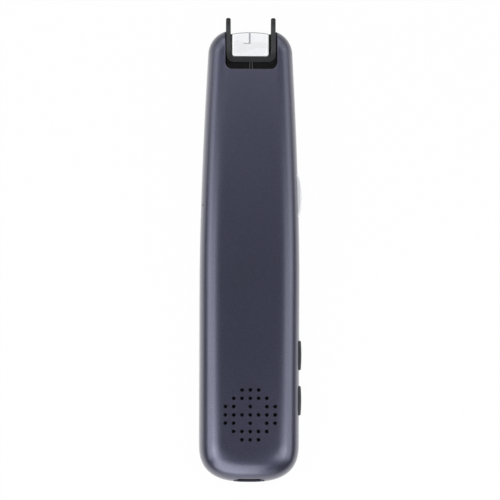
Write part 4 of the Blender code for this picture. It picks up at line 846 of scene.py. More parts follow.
HOUSING_PAINT = MetallicPaint(
    "slate_metal_paint", (0.070, 0.070, 0.116), (0.150, 0.150, 0.222), 0.38, 0.80, coat=1.0
)
FORK_BLACK = MouldedPlastic("fork_black", (0.030, 0.029, 0.030), (0.050, 0.049, 0.050), 0.50)
# Fork plastic, with painted shade on its deck and painted highlights on its rib's lips.
NIB_BLACK = NibPlastic("nib_black", (0.021, 0.0205, 0.0205), (0.032, 0.031, 0.031), 0.36)
KEY_GREY = MouldedPlastic(
    "key_dark_grey", (0.038, 0.041, 0.049), (0.054, 0.058, 0.068), 0.42, 6400, 0.000005
)
KEY_SILVER = MetallicPaint(
    "key_satin_silver", (0.95, 0.945, 0.94), (0.98, 0.978, 0.975), 0.34, 0.15, 11000, 500
)
HOOD_CLEAR = HoodPlastic("hood_clear", (0.985, 0.988, 1.0), 0.02)
AIM_GREY = MouldedPlastic("aim_mark_grey", (0.40, 0.40, 0.415), (0.46, 0.46, 0.475), 0.5, 9000)
FRONT_GLASS = BackedGlass(
    "front_glass_black", (0.0060, 0.0060, 0.0075), (0.0032, 0.0034, 0.0042),
    (-0.0108, -0.0504), (0.0108, 0.0400),
)
PANEL_GLASS = MouldedPlastic("panel_glass", (0.010, 0.011, 0.014), (0.02, 0.02, 0.024), 0.2)
STEEL = BrushedMetal("drawn_steel", (0.60, 0.61, 0.63), 0.27)
# Steel of the socket's shell, with painted shade over its top.
SOCKET_STEEL = ShellSteel("socket_steel", (0.50, 0.505, 0.53), 0.34)
SCREW_STEEL = BrushedMetal("screw_steel", (0.46, 0.47, 0.49), 0.33, (1, 1, 0.05), 12000)
GOLD = BrushedMetal("contact_gold", (0.80, 0.58, 0.24), 0.24, (1, 0.05, 1), 14000)
FOIL = BrushedMetal("cell_foil", (0.58, 0.60, 0.63), 0.34, (0.4, 1, 1), 1800, 0.00001)
BOARD = CircuitBoard("board_green", (0.012, 0.075, 0.035), (0.030, 0.16, 0.070))
CHIP = MouldedPlastic("chip_black", (0.020, 0.020, 0.022), (0.034, 0.034, 0.036), 0.55, 7500)
FLEX = FlatCable("flex_amber", (0.34, 0.15, 0.03), (0.52, 0.27, 0.08))
SOFT = MouldedPlastic("soft_grey", (0.045, 0.045, 0.046), (0.07, 0.07, 0.07), 0.82, 3000, 0.00002)
WHITE = MouldedPlastic("switch_white", (0.72, 0.72, 0.69), (0.80, 0.80, 0.77), 0.42)
DUST_CLOTH = WovenMesh("dust_cloth", (0.004, 0.004, 0.005), (0.022, 0.022, 0.025))
LENS = BackedGlass(
    "lens_glass", (0.020, 0.018, 0.034), (0.004, 0.004, 0.008), (-0.001, -1.0), (0.001, 1.0)
)


class Bench:
    """Hand moves of the modelling bench, on one piece at a time."""

    @staticmethod
    def clear() -> None:
        """Leaves nothing selected."""
        if bpy.context.object is not None and bpy.context.object.mode != "OBJECT":
            bpy.ops.object.mode_set(mode="OBJECT")
        bpy.ops.object.select_all(action="DESELECT")

    @staticmethod
    def hold(piece: Piece) -> Piece:
        """Selects one piece and makes it the active one."""
        Bench.clear()
        bpy.context.view_layer.objects.active = piece
        piece.select_set(True)
        return piece

    @staticmethod
    def named(name: str) -> Piece:
        """Names the primitive that was just added."""
        piece = bpy.context.object
        piece.name = name
        piece.data.name = name
        return piece

    @staticmethod
    def pick(
        piece: Piece,
        kind: str,
        test: Callable[[bmesh.types.BMElem], bool],
    ) -> int:
        """Goes into edit mode and selects the elements that pass a test.

        Args:
            piece: The piece to edit.
            kind: "VERT", "EDGE" or "FACE".
            test: Tells for each element whether it is wanted.

        Returns:
            How many were selected.
        """
        Bench.hold(piece)
        bpy.ops.object.mode_set(mode="EDIT")
        bpy.ops.mesh.select_mode(type=kind)
        bpy.ops.mesh.select_all(action="DESELECT")
        mesh = bmesh.from_edit_mesh(piece.data)
        elements = {"VERT": mesh.verts, "EDGE": mesh.edges, "FACE": mesh.faces}[kind]
        elements.ensure_lookup_table()
        wanted = [element for element in elements if test(element)]
        for element in wanted:
            element.select_set(True)
        mesh.select_flush_mode()
        bmesh.update_edit_mesh(piece.data)
        return len(wanted)

    @staticmethod
    def tidy(piece: Piece) -> Piece:
        """Merges doubles, turns the faces outwards and puts the place in the mesh.

        Args:
            piece: The piece to clean up.

        Returns:
            The same piece.
        """
        Bench.pick(piece, "VERT", lambda vertex: True)
        bpy.ops.mesh.remove_doubles(threshold=WELD_DISTANCE)
        bpy.ops.mesh.normals_make_consistent(inside=False)
        bpy.ops.object.mode_set(mode="OBJECT")
        bpy.ops.object.transform_apply(location=True, rotation=True, scale=True)
        return piece

    @staticmethod
    def smooth(piece: Piece, degrees: float = 30) -> Piece:
        """Shades a piece smooth up to an angle."""
        Bench.hold(piece)
        bpy.ops.object.shade_smooth_by_angle(angle=math.radians(degrees))
        return piece

    @staticmethod
    def settle(piece: Piece) -> Piece:
        """Lets the large flat faces keep their own normals beside rounded edges."""
        return Bench.apply(piece, "WEIGHTED_NORMAL", keep_sharp=True)

    @staticmethod
    def close(piece: Piece) -> Piece:
        """Fills the open ends of a loft in edit mode and tidies it."""
        bpy.ops.mesh.select_all(action="SELECT")
        bpy.ops.mesh.fill_holes(sides=0)
        return Bench.tidy(piece)

    @staticmethod
    def coat(piece: Piece, finish: Finish) -> Piece:
        """Gives a piece one finish all over."""
        piece.data.materials.clear()
        piece.data.materials.append(finish.material())
        return piece

    @staticmethod
    def apply(piece: Piece, kind: str, **settings: object) -> Piece:
        """Adds one modifier and applies it.

        Args:
            piece: The piece to change.
            kind: The modifier's type.
            settings: Its properties.

        Returns:
            The piece.
        """
        Bench.hold(piece)
        modifier = piece.modifiers.new(kind.lower(), kind)
        for name, setting in settings.items():
            setattr(modifier, name, setting)
        bpy.ops.object.modifier_apply(modifier=modifier.name)
        return piece

    @staticmethod
    def combine(
        piece: Piece, operation: str, *tools: Piece
    ) -> Piece:
        """Joins tools to a piece or cuts them from it, and puts the tools away.

        Args:
            piece: The piece to change.
            operation: "UNION", "DIFFERENCE" or "INTERSECT".
            tools: Closed shapes.

        Returns:
            The piece.
        """
        for tool in tools:
            Bench.apply(piece, "BOOLEAN", operation=operation, solver="EXACT", object=tool)
            bpy.data.objects.remove(tool)
        return piece

    @staticmethod
    def round_edges(
        piece: Piece,
        width: float,
        segments: int = 2,
        test: Callable[[Edge], bool] | None = None,
        degrees: float = 35,
    ) -> Piece:
        """Rounds the sharp edges, or those of them that pass a test.

        Args:
            piece: The piece to round.
            width: How far the round reaches from the edge.
            segments: Steps across the round.
            test: Picks edges.
            degrees: Angle from which an edge is sharp.

        Returns:
            The piece.
        """

        def sharp(edge: Edge) -> bool:
            turned = len(edge.link_faces) == 2 and edge.calc_face_angle(0) > math.radians(degrees)
            return turned and (test is None or test(edge))

        if Bench.pick(piece, "EDGE", sharp):
            bpy.ops.mesh.bevel(offset=width, segments=segments, clamp_overlap=True)
        bpy.ops.object.mode_set(mode="OBJECT")
        return piece

    @staticmethod
    def ring(name: str, outline: Sequence[Point], height: float) -> Piece:
        """Starts a loft from a circle whose points are drawn out to an outline.

        Args:
            name: The piece's name.
            outline: The closed outline.
            height: Its height.

        Returns:
            The piece, in edit mode, with the ring selected.
        """
        Bench.clear()
        bpy.ops.mesh.primitive_circle_add(vertices=len(outline), radius=0.01)
        piece = Bench.named(name)
        bpy.ops.object.mode_set(mode="EDIT")
        mesh = bmesh.from_edit_mesh(piece.data)
        station = mesh.verts.layers.int.new("station")
        for number, vertex in enumerate(mesh.verts):
            vertex[station] = number
            vertex.co = (*outline[number], height)
        bmesh.update_edit_mesh(piece.data)
        bpy.ops.mesh.select_mode(type="EDGE")
        bpy.ops.mesh.select_all(action="SELECT")
        return piece

    @staticmethod
    def extrude(piece: Piece, points: Sequence[Vector]) -> None:
        """Extrudes the selected ring and sets the new one on its own points.

        Args:
            piece: The piece in edit mode.
            points: One place for each station of the ring.
        """
        bpy.ops.mesh.extrude_edges_move()
        mesh = bmesh.from_edit_mesh(piece.data)
        station = mesh.verts.layers.int["station"]
        for vertex in mesh.verts:
            if vertex.select:
                vertex.co = points[vertex[station]]
        bmesh.update_edit_mesh(piece.data)

    @staticmethod
    def plate(
        name: str,
        outline: Sequence[Point],
        low: float,
        high: float,
        facing: Facing = Facing.UP,
    ) -> Piece:
        """A flat plate from a drawn-out circle, filled and extruded to its thickness.

        Args:
            name: The piece's name.
            outline: The closed outline.
            low: Where the plate starts.
            high: Where it ends.
            facing: Which way its thickness runs.

        Returns:
            The finished solid.
        """
        piece = Bench.ring(name, outline, low)
        bpy.ops.mesh.edge_face_add()
        bpy.ops.mesh.select_mode(type="FACE")
        bpy.ops.mesh.extrude_region_move(TRANSFORM_OT_translate={"value": (0, 0, high - low)})
        bpy.ops.mesh.select_all(action="SELECT")
        bpy.ops.mesh.normals_make_consistent(inside=False)
        bpy.ops.object.mode_set(mode="OBJECT")
        piece.data.transform(facing.value)
        if facing.value.determinant() < 0:
            piece.data.flip_normals()
        return piece

    @staticmethod
    def block(name: str, low: Sequence[float], high: Sequence[float]) -> Piece:
        """A cube at its size and place, for cutting or as a start.

        Args:
            name: The piece's name.
            low: Lowest corner.
            high: Highest corner.

        Returns:
            The solid.
        """
        Bench.clear()
        low, high = Vector(low), Vector(high)
        bpy.ops.mesh.primitive_cube_add(size=1, location=(low + high) / 2, scale=high - low)
        piece = Bench.named(name)
        bpy.ops.object.transform_apply(location=True, rotation=True, scale=True)
        return piece

    @staticmethod
    def beam(name: str, half: float, along: Point, rise: Point) -> Piece:
        """A block that reaches as far to both sides of the middle plane.

        Args:
            name: The piece's name.
            half: How far it reaches to each side.
            along: Where it starts and ends along the pen.
            rise: Its lowest and highest height.

        Returns:
            The solid.
        """
        (near, far), (low, high) = along, rise
        return Bench.block(name, (-half, near, low), (half, far, high))

    @staticmethod
    def rod(
        name: str, radius: float, length: float, middle: Sequence[float], axis: Axis, sides: int
    ) -> Piece:
        """A cylinder at its size and place, for cutting or as a start.

        Args:
            name: The piece's name.
            radius: Its radius.
            length: Its length.
            middle: Its centre.
            axis: The axis that it lies along.
            sides: How many sides it has.

        Returns:
            The solid.
        """
        Bench.clear()
        bpy.ops.mesh.primitive_cylinder_add(
            vertices=sides, radius=radius, depth=length, location=middle, rotation=axis.value
        )
        return Bench.tidy(Bench.named(name))

    @staticmethod
    def join(name: str, pieces: Sequence[Piece]) -> Piece:
        """Joins several meshes into one.

        Args:
            name: The joined piece's name.
            pieces: What is joined.

        Returns:
            The joined piece.
        """
        Bench.hold(pieces[0])
        for piece in pieces[1:]:
            piece.select_set(True)
        if len(pieces) > 1:
            bpy.ops.object.join()
        return Bench.named(name)


def arc(
    middle: Point, radius: float, start: float, turn: float, steps: int = 10
) -> list[Point]:
    """Points of an arc with both its ends.

    Args:
        middle: Centre of the arc.
        radius: Its radius.
        start: Angle of the first point.
        turn: Angle from the first point to the last.
        steps: Steps between them.

    Returns:
        The points.
    """
    angles = [start + turn * step / steps for step in range(steps + 1)]
    x, y = middle
    return [(x + radius * math.cos(angle), y + radius * math.sin(angle)) for angle in angles]


def slot_outline(middle: Point, length: float, height: float, steps: int = 12) -> list[Point]:
    """A slot with round ends that starts at its far tip, for an even number of stations.

    Args:
        middle: Centre of the slot.
        length: Its length.
        height: Its height.
        steps: Steps in a quarter of a round end.

    Returns:
        The closed outline.
    """
    radius = height / 2
    reach = length / 2 - radius
    far = arc((reach, 0), radius, 0, QUARTER_TURN, steps)
    spans = max(4, round(reach / SLOT_STEP))
    top = [(reach - 2 * reach * step / spans, radius) for step in range(1, spans)]
    near = arc((-reach, 0), radius, QUARTER_TURN, QUARTER_TURN, steps)
    upper = far + top + near
    lower = [(along, -rise) for along, rise in reversed(upper[1:-1])]
    return [(middle[0] + along, middle[1] + rise) for along, rise in upper + lower]


def edge_curve(share: float, power: float) -> Point:
    """Inward spread and rise of a rounded edge, both as shares, at a share of its turn."""
    angle = QUARTER_TURN * share
    return 1 - abs(math.cos(angle)) ** (2 / power), math.sin(angle) ** (2 / power)


def cap(
    piece: Piece,
    stations: int,
    cuts: int,
    height: Callable[[float, float], float],
) -> None:
    """Closes the selected ring of a symmetric loft with a ladder of faces across it.

    Args:
        piece: The piece in edit mode, with its last ring selected.
        stations: How many points the ring has.
        cuts: Rows of points added across.
        height: Gives the surface's height at a place.
    """
    half = stations // 2
    mesh = bmesh.from_edit_mesh(piece.data)
    station = mesh.verts.layers.int["station"]
    ends = (0, half)
    for edge in mesh.edges:
        if edge.select and any(vertex[station] in ends for vertex in edge.verts):
            edge.select_set(False)
    bmesh.update_edit_mesh(piece.data)
    count = len(mesh.verts)
    bpy.ops.mesh.bridge_edge_loops(number_cuts=cuts, interpolation="LINEAR", smoothness=0)
    mesh = bmesh.from_edit_mesh(piece.data)
    mesh.verts.ensure_lookup_table()
    for vertex in mesh.verts[count:]:
        vertex.co.z = height(vertex.co.x, vertex.co.y)
    bmesh.update_edit_mesh(piece.data)
    bpy.ops.mesh.select_all(action="SELECT")
    bpy.ops.mesh.fill_holes(sides=cuts + 6)


@dataclass(frozen=True)
class Housing:
    """Plan and section of the housing, which its pieces share."""

    half_width: float = 0.0169
    tail_y: float = -0.07845
    head_y: float = 0.0743
    tail_round: float = 0.0135
    tail_power: float = 2.72
    tail_inset_share: float = 1.5
    taper_start_y: float = -0.0100
    taper_length: float = 0.0700
    taper_drop: float = 0.00234
    taper_power: float = 1.65
    head_corner: float = 0.0084
    rim_z: float = 0.0042
    cover_height: float = 0.0077
    head_thinning: float = 0.0010
    crown: float = 0.0008
    edge_width: float = 0.0078
    edge_power: float = 2.4
    wall: float = 0.0012
    mouth_depth: float = 0.008
    notch_steps: int = 14
    bed_half: float = 0.0085
    bed_front_y: float = 0.0635
    bed_top_z: float = 0.0102
    notch_width: float = 0.0176
    notch_floor_y: float = 0.0612
    notch_corner: float = 0.0022
    tail_steps: int = 26
    side_steps: int = 46
    corner_steps: int = 16
    crown_cuts: int = 14

    def half_at(self, y: float) -> float:
        """Half the housing's width at a place along it."""
        share = max(y - self.taper_start_y, 0) / self.taper_length
        return self.half_width - self.taper_drop * share**self.taper_power

    def outline(
        self, inset: float, end_y: float | None = None, corner: float | None = None
    ) -> list[Point]:
        """The plan outline, drawn in by an inset, from the tail round by the right side.

        Args:
            inset: How far inside the housing's edge it lies.
            end_y: Where it ends towards the head.
            corner: Radius of the corners at the head.

        Returns:
            The closed outline.
        """
        end_y = self.head_y - inset if end_y is None else end_y
        corner = self.head_corner - inset if corner is None else corner
        centre_y = self.tail_y + self.tail_round
        depth = self.tail_round - inset * self.tail_inset_share
        half = self.half_width - inset
        right = []
        for step in range(self.tail_steps + 1):
            angle = QUARTER_TURN * step / self.tail_steps
            across = math.sin(angle) ** (2 / self.tail_power)
            along = abs(math.cos(angle)) ** (2 / self.tail_power)
            right.append((half * across, centre_y - depth * along))
        corner_y = end_y - corner
        for step in range(1, self.side_steps):
            y = centre_y + (corner_y - centre_y) * step / self.side_steps
            right.append((self.half_at(y) - inset, y))
        corner_x = self.half_at(corner_y) - inset - corner
        right += arc((corner_x, corner_y), corner, 0, QUARTER_TURN, self.corner_steps)
        right += [(corner_x * share, end_y) for share in (0.75, 0.5, 0.25, 0)]
        return right + [(-x, y) for x, y in reversed(right[1:-1])]

    def height_at(self, y: float) -> float:
        """Height of the cover over its rim."""
        share = max(y - self.taper_start_y, 0) / (self.head_y - self.taper_start_y)
        return self.cover_height - self.head_thinning * share * share

    def cover_z(self, x: float, y: float, rise: float = 1, inset: float = 0) -> float:
        """Height of the cover's surface, with the crown of its back.

        Args:
            x: Place across.
            y: Place along.
            rise: Share of the full height that its edge has reached.
            inset: How far under the outer surface it lies.

        Returns:
            The height.
        """
        crown = self.crown * (1 - (x / self.half_at(y)) ** 2)
        return self.rim_z + rise * (self.height_at(y) - inset + crown)

    def side_x(self, y: float, z: float) -> float:
        """How far the cover's outer side lies from the middle plane at a height."""
        rise = (z - self.rim_z) / self.height_at(y)
        turn = math.asin(rise ** (self.edge_power / 2))
        return self.half_at(y) - self.edge_width * (1 - math.cos(turn) ** (2 / self.edge_power))

    def head_z(self, x: float, y: float) -> float:
        """Height of the cover's surface near the head, where its edge follows round corners.

        Args:
            x: Place across the pen.
            y: Place along the pen.

        Returns:
            The height of that place.
        """
        corner_y = self.head_y - self.head_corner
        corner_x = self.half_at(corner_y) - self.head_corner
        depth = self.head_y - y
        if abs(x) > corner_x:
            reach = math.hypot(abs(x) - corner_x, max(y - corner_y, 0))
            depth = self.head_corner - reach
        spread = min(max(depth / self.edge_width, 0), 1)
        cosine = (1 - spread) ** (self.edge_power / 2)
        return self.cover_z(x, y, math.sqrt(1 - cosine * cosine) ** (2 / self.edge_power))

    def notch(self, margin: float = 0, mouth: float = 0.002) -> list[Point]:
        """The U of the head's notch.

        Args:
            margin: How far it is grown.
            mouth: How far past the head it is open.

        Returns:
            The closed outline.
        """
        half = self.notch_width / 2 + margin
        radius = self.notch_corner + margin
        floor = self.notch_floor_y - margin
        end = self.head_y + mouth
        count, run = self.notch_steps, floor + radius - end
        steps = [end + run * step / count for step in range(count)]
        left = arc((radius - half, floor + radius), radius, math.pi, QUARTER_TURN)
        right = arc((half - radius, floor + radius), radius, -QUARTER_TURN, QUARTER_TURN)
        down = [(-half, y) for y in steps]
        return down + left + right + [(half, y) for y in reversed(steps)]

    def mouth_reach(self) -> Point:
        """Where the cutters of the socket's mouth start and end."""
        return self.tail_y - 2 * OVERRUN, self.tail_y + self.mouth_depth

    def fork_bed(self, rear_y: float, low_z: float) -> Piece:
        """The room behind the notch that the fork's deck slides in, as a cutter."""
        along, rise = (rear_y, self.bed_front_y), (low_z, self.bed_top_z)
        return Bench.beam("fork_bed", self.bed_half, along, rise)

    def loft(self, name: str, inset: float, base_z: float, steps: int) -> Piece:
        """A closed solid of the cover's form.

        Args:
            name: The solid's name.
            inset: How far inside the cover's outer surface it lies.
            base_z: Height of its flat base.
            steps: Rings across its rounded edge.

        Returns:
            The solid.
        """
        base = self.outline(inset)
        piece = Bench.ring(name, base, base_z)
        for step in range(steps + 1):
            spread, rise = edge_curve(step / steps, self.edge_power)
            outline = self.outline(inset + (self.edge_width - inset) * spread)
            if rise > 0 or base_z < self.rim_z:
                ring = [Vector((x, y, self.cover_z(x, y, rise, inset))) for x, y in outline]
                Bench.extrude(piece, ring)
        cap(piece, len(base), self.crown_cuts, lambda x, y: self.cover_z(x, y, 1, inset))
        return Bench.close(piece)


@dataclass(frozen=True)
class KeyPlace:
    """One side key: where it is, how big it is and what it stands for."""

    body: str
    y: float
    length: float
    proud: float
    sag: float
    finish: Finish
    slot: str
    z: float = 0.0064
    height: float = 0.0014
    gap: float = 0.00013

    def outline(self, margin: float, steps: int = 12) -> list[Point]:
        """The key's slot outline in Y and Z, grown by a margin."""
        size = (self.length + 2 * margin, self.height + 2 * margin)
        return slot_outline((self.y, self.z), *size, steps)


@dataclass
class SideKey:
    """A key cap that follows the housing's side and stands a little out of its slot."""

    housing: Housing
    place: KeyPlace
    edge_round: float = 0.00042
    edge_steps: int = 6
    corner_steps: int = 6
    crease: float = 32
    face_cuts: int = 7
    flange_depth: float = 0.0029
    flange_thickness: float = 0.0006
    flange_margin: float = 0.0007

    def face_x(self, along: float, z: float) -> float:
        """How far out the key's face is at a place on it."""
        place = self.place
        swell = place.proud - place.sag * (2 * (along - place.y) / place.length) ** 2
        return self.housing.side_x(along, z) + swell

    def build(self) -> Piece:
        """Lofts the cap outwards and joins it to its flange.

        Returns:
            The finished key.
        """
        place = self.place
        wall_x = self.housing.side_x(place.y, place.z)
        outer = wall_x - self.flange_depth
        start = place.outline(0)
        piece = Bench.ring(place.body + "_cap", start, outer - self.flange_thickness / 2)
        for step in range(self.edge_steps + 1):
            spread, rise = edge_curve(step / self.edge_steps, 2)
            sink = self.edge_round * (1 - rise)
            outline = place.outline(-self.edge_round * spread)
            ring = [Vector((u, v, self.face_x(u, v) - sink)) for u, v in outline]
            Bench.extrude(piece, ring)
        cap(piece, len(start), self.face_cuts, self.face_x)
        Bench.close(piece)
        piece.data.transform(Facing.ACROSS.value)
        flange = place.outline(self.flange_margin, self.corner_steps)
        reach = (outer - self.flange_thickness, outer)
        Bench.combine(piece, "UNION", Bench.plate("flange", flange, *reach, Facing.ACROSS))
        Bench.smooth(Bench.tidy(piece), self.crease)
        Bench.coat(piece, place.finish)
        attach(piece, place.body)
        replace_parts(piece, place.body + "_key")
        return piece


@dataclass
class BackCover:
    """The moulded back of the pen, with its notch, grille, key slots and socket mouth."""

    housing: Housing
    keys: Sequence[KeyPlace]
    lip_round: float = 0.00022
    notch_flare: float = 16
    slot_flare: float = 17
    slot_start_x: float = 0.008
    pad_steps: int = 6
    cover_steps: int = 22
    hollow_steps: int = 12
    mouth_steps: int = 16
    hole_sides: int = 24
    mic_sides: int = 20
    crease: float = 26
    flare_steps: int = 6
    cutter_top: float = 0.02
    pad_margin: float = 0.0005
    pad_depth: float = 0.0026
    pitch: float = 0.0028
    hole_radius: float = 0.00064
    hole_flare: float = 0.00005
    hole_depth: float = 0.006
    hole_rise: float = 0.0006
    speaker_y: float = -0.0557
    mouth_size: Point = (0.0106, 0.0046)
    mouth_z: float = 0.00618
    bed_rear_y: float = 0.0568
    mic_place: tuple[float, float, float] = (-0.0169, 0.0151, 0.0074)
    mic_radius: float = 0.0004
    rows: dict[int, tuple[int, ...]] = field(
        default_factory=lambda: {
            0: (-3, -2, -1, 0, 1, 2, 3),
            1: (-3, -2, 0, 2, 3),
            2: (-2, -1, 0, 1, 2),
            3: (-1, 0, 1),
        }
    )

    def _inside(self) -> Piece:
        """The hollow of the cover, less the walls round the notch and the keys.

        Returns:
            The cutter.
        """
        housing = self.housing
        hollow = housing.loft("hollow", housing.wall, housing.rim_z - OVERRUN, self.hollow_steps)
        wall = Bench.plate("notch_wall", housing.notch(housing.wall), 0, self.cutter_top)
        pads = []
        for key in self.keys:
            outer = housing.side_x(key.y, key.z)
            outline = key.outline(key.gap + self.pad_margin, self.pad_steps)
            reach = (outer - self.pad_depth, outer + self.cutter_top / 2)
            pads.append(Bench.plate("pad", outline, *reach, Facing.ACROSS))
        return Bench.combine(hollow, "DIFFERENCE", wall, *pads)

    def _flared(
        self,
        piece: Piece,
        degrees: float,
        outline: Callable[[float], list[Point]],
        surface: Callable[[float, float], float],
    ) -> Piece:
        """Runs a cutter through a surface, flared there so that its edge comes out rounded.

        Args:
            piece: The cutter in edit mode, with its first ring selected.
            degrees: Turn of the round from one ring to the next.
            outline: Gives the opening's outline, grown by a margin.
            surface: Gives the surface's height at a place.

        Returns:
            The closed cutter.
        """
        for step in range(self.flare_steps):
            turn = math.radians(degrees * step)
            drop = self.lip_round * (1 - math.sin(turn))
            places = outline(self.lip_round * (1 - math.cos(turn)))
            Bench.extrude(piece, [Vector((u, v, surface(u, v) - drop)) for u, v in places])
        Bench.extrude(piece, [Vector((u, v, self.cutter_top)) for u, v in places])
        return Bench.close(piece)

    def _notch_cutter(self) -> Piece:
        """The U of the notch, flared at the back's surface.

        Returns:
            The cutter.
        """
        housing = self.housing
        piece = Bench.ring("notch_cutter", housing.notch(), -2 * OVERRUN)

        def surface(x: float, y: float) -> float:
            return housing.head_z(x, min(y, housing.head_y))

        return self._flared(piece, self.notch_flare, housing.notch, surface)

    def _grille_cutter(self) -> Piece:
        """One flared hole, copied to each place of the grille.

        Returns:
            All the holes as one cutter.
        """
        housing = self.housing
        depth, rise = self.hole_depth, self.hole_rise
        size, middle = (self.hole_radius, depth), (0, 0, -depth / 2)
        first = Bench.rod("hole", *size, middle, Axis.Z, self.hole_sides)
        Bench.pick(first, "FACE", lambda face: face.normal.z > FACES_AXIS)
        bpy.ops.mesh.extrude_region_move(TRANSFORM_OT_translate={"value": (0, 0, rise)})
        wide = 1 + rise / self.hole_radius
        bpy.ops.transform.resize(value=(wide, wide, 1))
        bpy.ops.object.mode_set(mode="OBJECT")
        holes = []
        for row, columns in self.rows.items():
            for side in (1, -1) if row else (1,):
                for column in columns:
                    x, y = column * self.pitch, self.speaker_y + side * row * self.pitch
                    hole = first.copy()
                    hole.data = first.data.copy()
                    bpy.context.scene.collection.objects.link(hole)
                    place = (x, y, housing.cover_z(x, y) - self.hole_flare)
                    hole.data.transform(Matrix.Translation(place))
                    holes.append(hole)
        bpy.data.objects.remove(first)
        log.info("grille of %d holes", len(holes))
        return Bench.join("grille_cutter", holes)

    def _slot_cutter(self, key: KeyPlace) -> Piece:
        """The slot of a key, flared at the side's surface.

        Args:
            key: The key to make room for.

        Returns:
            The cutter.
        """
        piece = Bench.ring(key.body + "_slot", key.outline(key.gap), self.slot_start_x)

        def grown(margin: float) -> list[Point]:
            return key.outline(key.gap + margin)

        self._flared(piece, self.slot_flare, grown, self.housing.side_x)
        piece.data.transform(Facing.ACROSS.value)
        return piece

    def _side_cutters(self) -> list[Piece]:
        """Key slots, the mouth of the socket and the microphone's hole."""
        cutters = [self._slot_cutter(key) for key in self.keys]
        mouth = slot_outline((0, self.mouth_z), *self.mouth_size, self.mouth_steps)
        cutters.append(Bench.plate("mouth", mouth, *self.housing.mouth_reach(), Facing.ALONG))
        size = (self.mic_radius, self.hole_depth)
        mic = Bench.rod("mic_hole", *size, self.mic_place, Axis.X, self.mic_sides)
        return [*cutters, mic]

    def build(self) -> Piece:
        """Lofts the cover, hollows it and cuts its openings.

        Returns:
            The finished cover.
        """
        cover = self.housing.loft("back_shell", 0, self.housing.rim_z, self.cover_steps)
        Bench.combine(cover, "DIFFERENCE", self._inside(), self._notch_cutter())
        bed = self.housing.fork_bed(self.bed_rear_y, 0)
        Bench.combine(cover, "DIFFERENCE", bed, self._grille_cutter(), *self._side_cutters())
        Bench.smooth(Bench.tidy(cover), self.crease)
        Bench.coat(cover, HOUSING_PAINT)
        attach(cover, "pen")
        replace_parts(cover, "back_cover")
        return cover


@dataclass
class FrontFrame:
    """The front half of the housing, rounded underneath, with the pocket of its glass."""

    housing: Housing
    top_z: float = 0.0039
    lift: float = 0.00025
    edge_width: float = 0.0020
    edge_power: float = 2.2
    edge_steps: int = 9
    shelf_z: float = 0.0031
    lip_sink: float = 0.0006
    screw_sides: int = 16
    crease: float = 26
    lip_top: float = 0.0048
    cutter_top: float = 0.007
    lip_inset: float = 0.0015
    lip_wall: float = 0.0008
    lip_end_y: float = 0.0597
    pocket_inset: float = 0.0026
    pocket_end_y: float = 0.05875
    pocket_corner: float = 0.00325
    pocket_z: float = 0.0013
    window_half: float = 0.0118
    window_y: Point = (-0.0515, 0.0411)
    window_top_z: float = 0.0045
    flex_half: float = 0.0043
    flex_y: Point = (0.0400, 0.0424)
    flex_low_z: float = 0.0006
    mouth_half: float = 0.0053
    mouth_low_z: float = 0.00403
    screw_radius: float = 0.00075
    screw_depth: float = 0.004
    screw_z: float = 0.0037
    ledge_width: float = 0.0014
    ledge_z: float = 0.0027
    bed_rear_y: float = 0.0567

    def _body(self) -> Piece:
        """The rounded outer form, lofted down from the parting line.

        Returns:
            The solid body.
        """
        piece = Bench.ring("front_shell", self.housing.outline(0), self.top_z)
        for step in range(1, self.edge_steps + 1):
            spread, rise = edge_curve(step / self.edge_steps, self.edge_power)
            height = self.top_z - (self.top_z - self.lift) * rise
            outline = self.housing.outline(self.edge_width * spread)
            Bench.extrude(piece, [Vector((x, y, height)) for x, y in outline])
        return Bench.close(piece)

    def build(self) -> Piece:
        """Joins the lip to the body and cuts its pockets, openings and holes.

        Returns:
            The finished frame.
        """
        housing = self.housing
        corner = housing.notch_corner
        frame_piece = self._body()
        lip = housing.outline(self.lip_inset, self.lip_end_y, corner)
        lip_plate = Bench.plate("lip", lip, self.top_z - self.lip_sink, self.lip_top)
        Bench.combine(frame_piece, "UNION", lip_plate)
        inset = self.lip_inset + self.lip_wall
        inside = housing.outline(inset, self.lip_end_y - self.lip_wall, corner)
        pocket = housing.outline(self.pocket_inset, self.pocket_end_y, self.pocket_corner)
        top = self.cutter_top
        window_z = (-OVERRUN, self.window_top_z)
        flex_z = (self.flex_low_z, self.window_top_z)
        mouth_z = (self.mouth_low_z, top)
        screws = []
        for number in range(1, 7):
            low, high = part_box(f"frame_screw_{number}")
            middle = (*((low + high) / 2).xy, self.screw_z)
            size = (self.screw_radius, self.screw_depth)
            screws.append(Bench.rod("screw_hole", *size, middle, Axis.Z, self.screw_sides))
        Bench.combine(
            frame_piece,
            "DIFFERENCE",
            Bench.plate("inside", inside, self.shelf_z, top),
            Bench.plate("pocket", pocket, -2 * OVERRUN, self.pocket_z),
            Bench.beam("window", self.window_half, self.window_y, window_z),
            Bench.beam("flex", self.flex_half, self.flex_y, flex_z),
            Bench.beam("mouth", self.mouth_half, housing.mouth_reach(), mouth_z),
            Bench.plate("bed", housing.notch(), self.ledge_z, top),
            Bench.plate("view", housing.notch(-self.ledge_width), -2 * OVERRUN, top),
            housing.fork_bed(self.bed_rear_y, self.ledge_z),
            Bench.join("screw_holes", screws),
        )
        Bench.smooth(Bench.tidy(frame_piece), self.crease)
        Bench.coat(frame_piece, HOUSING_PAINT)
        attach(frame_piece, "pen")
        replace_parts(frame_piece, "front_frame")
        return frame_piece


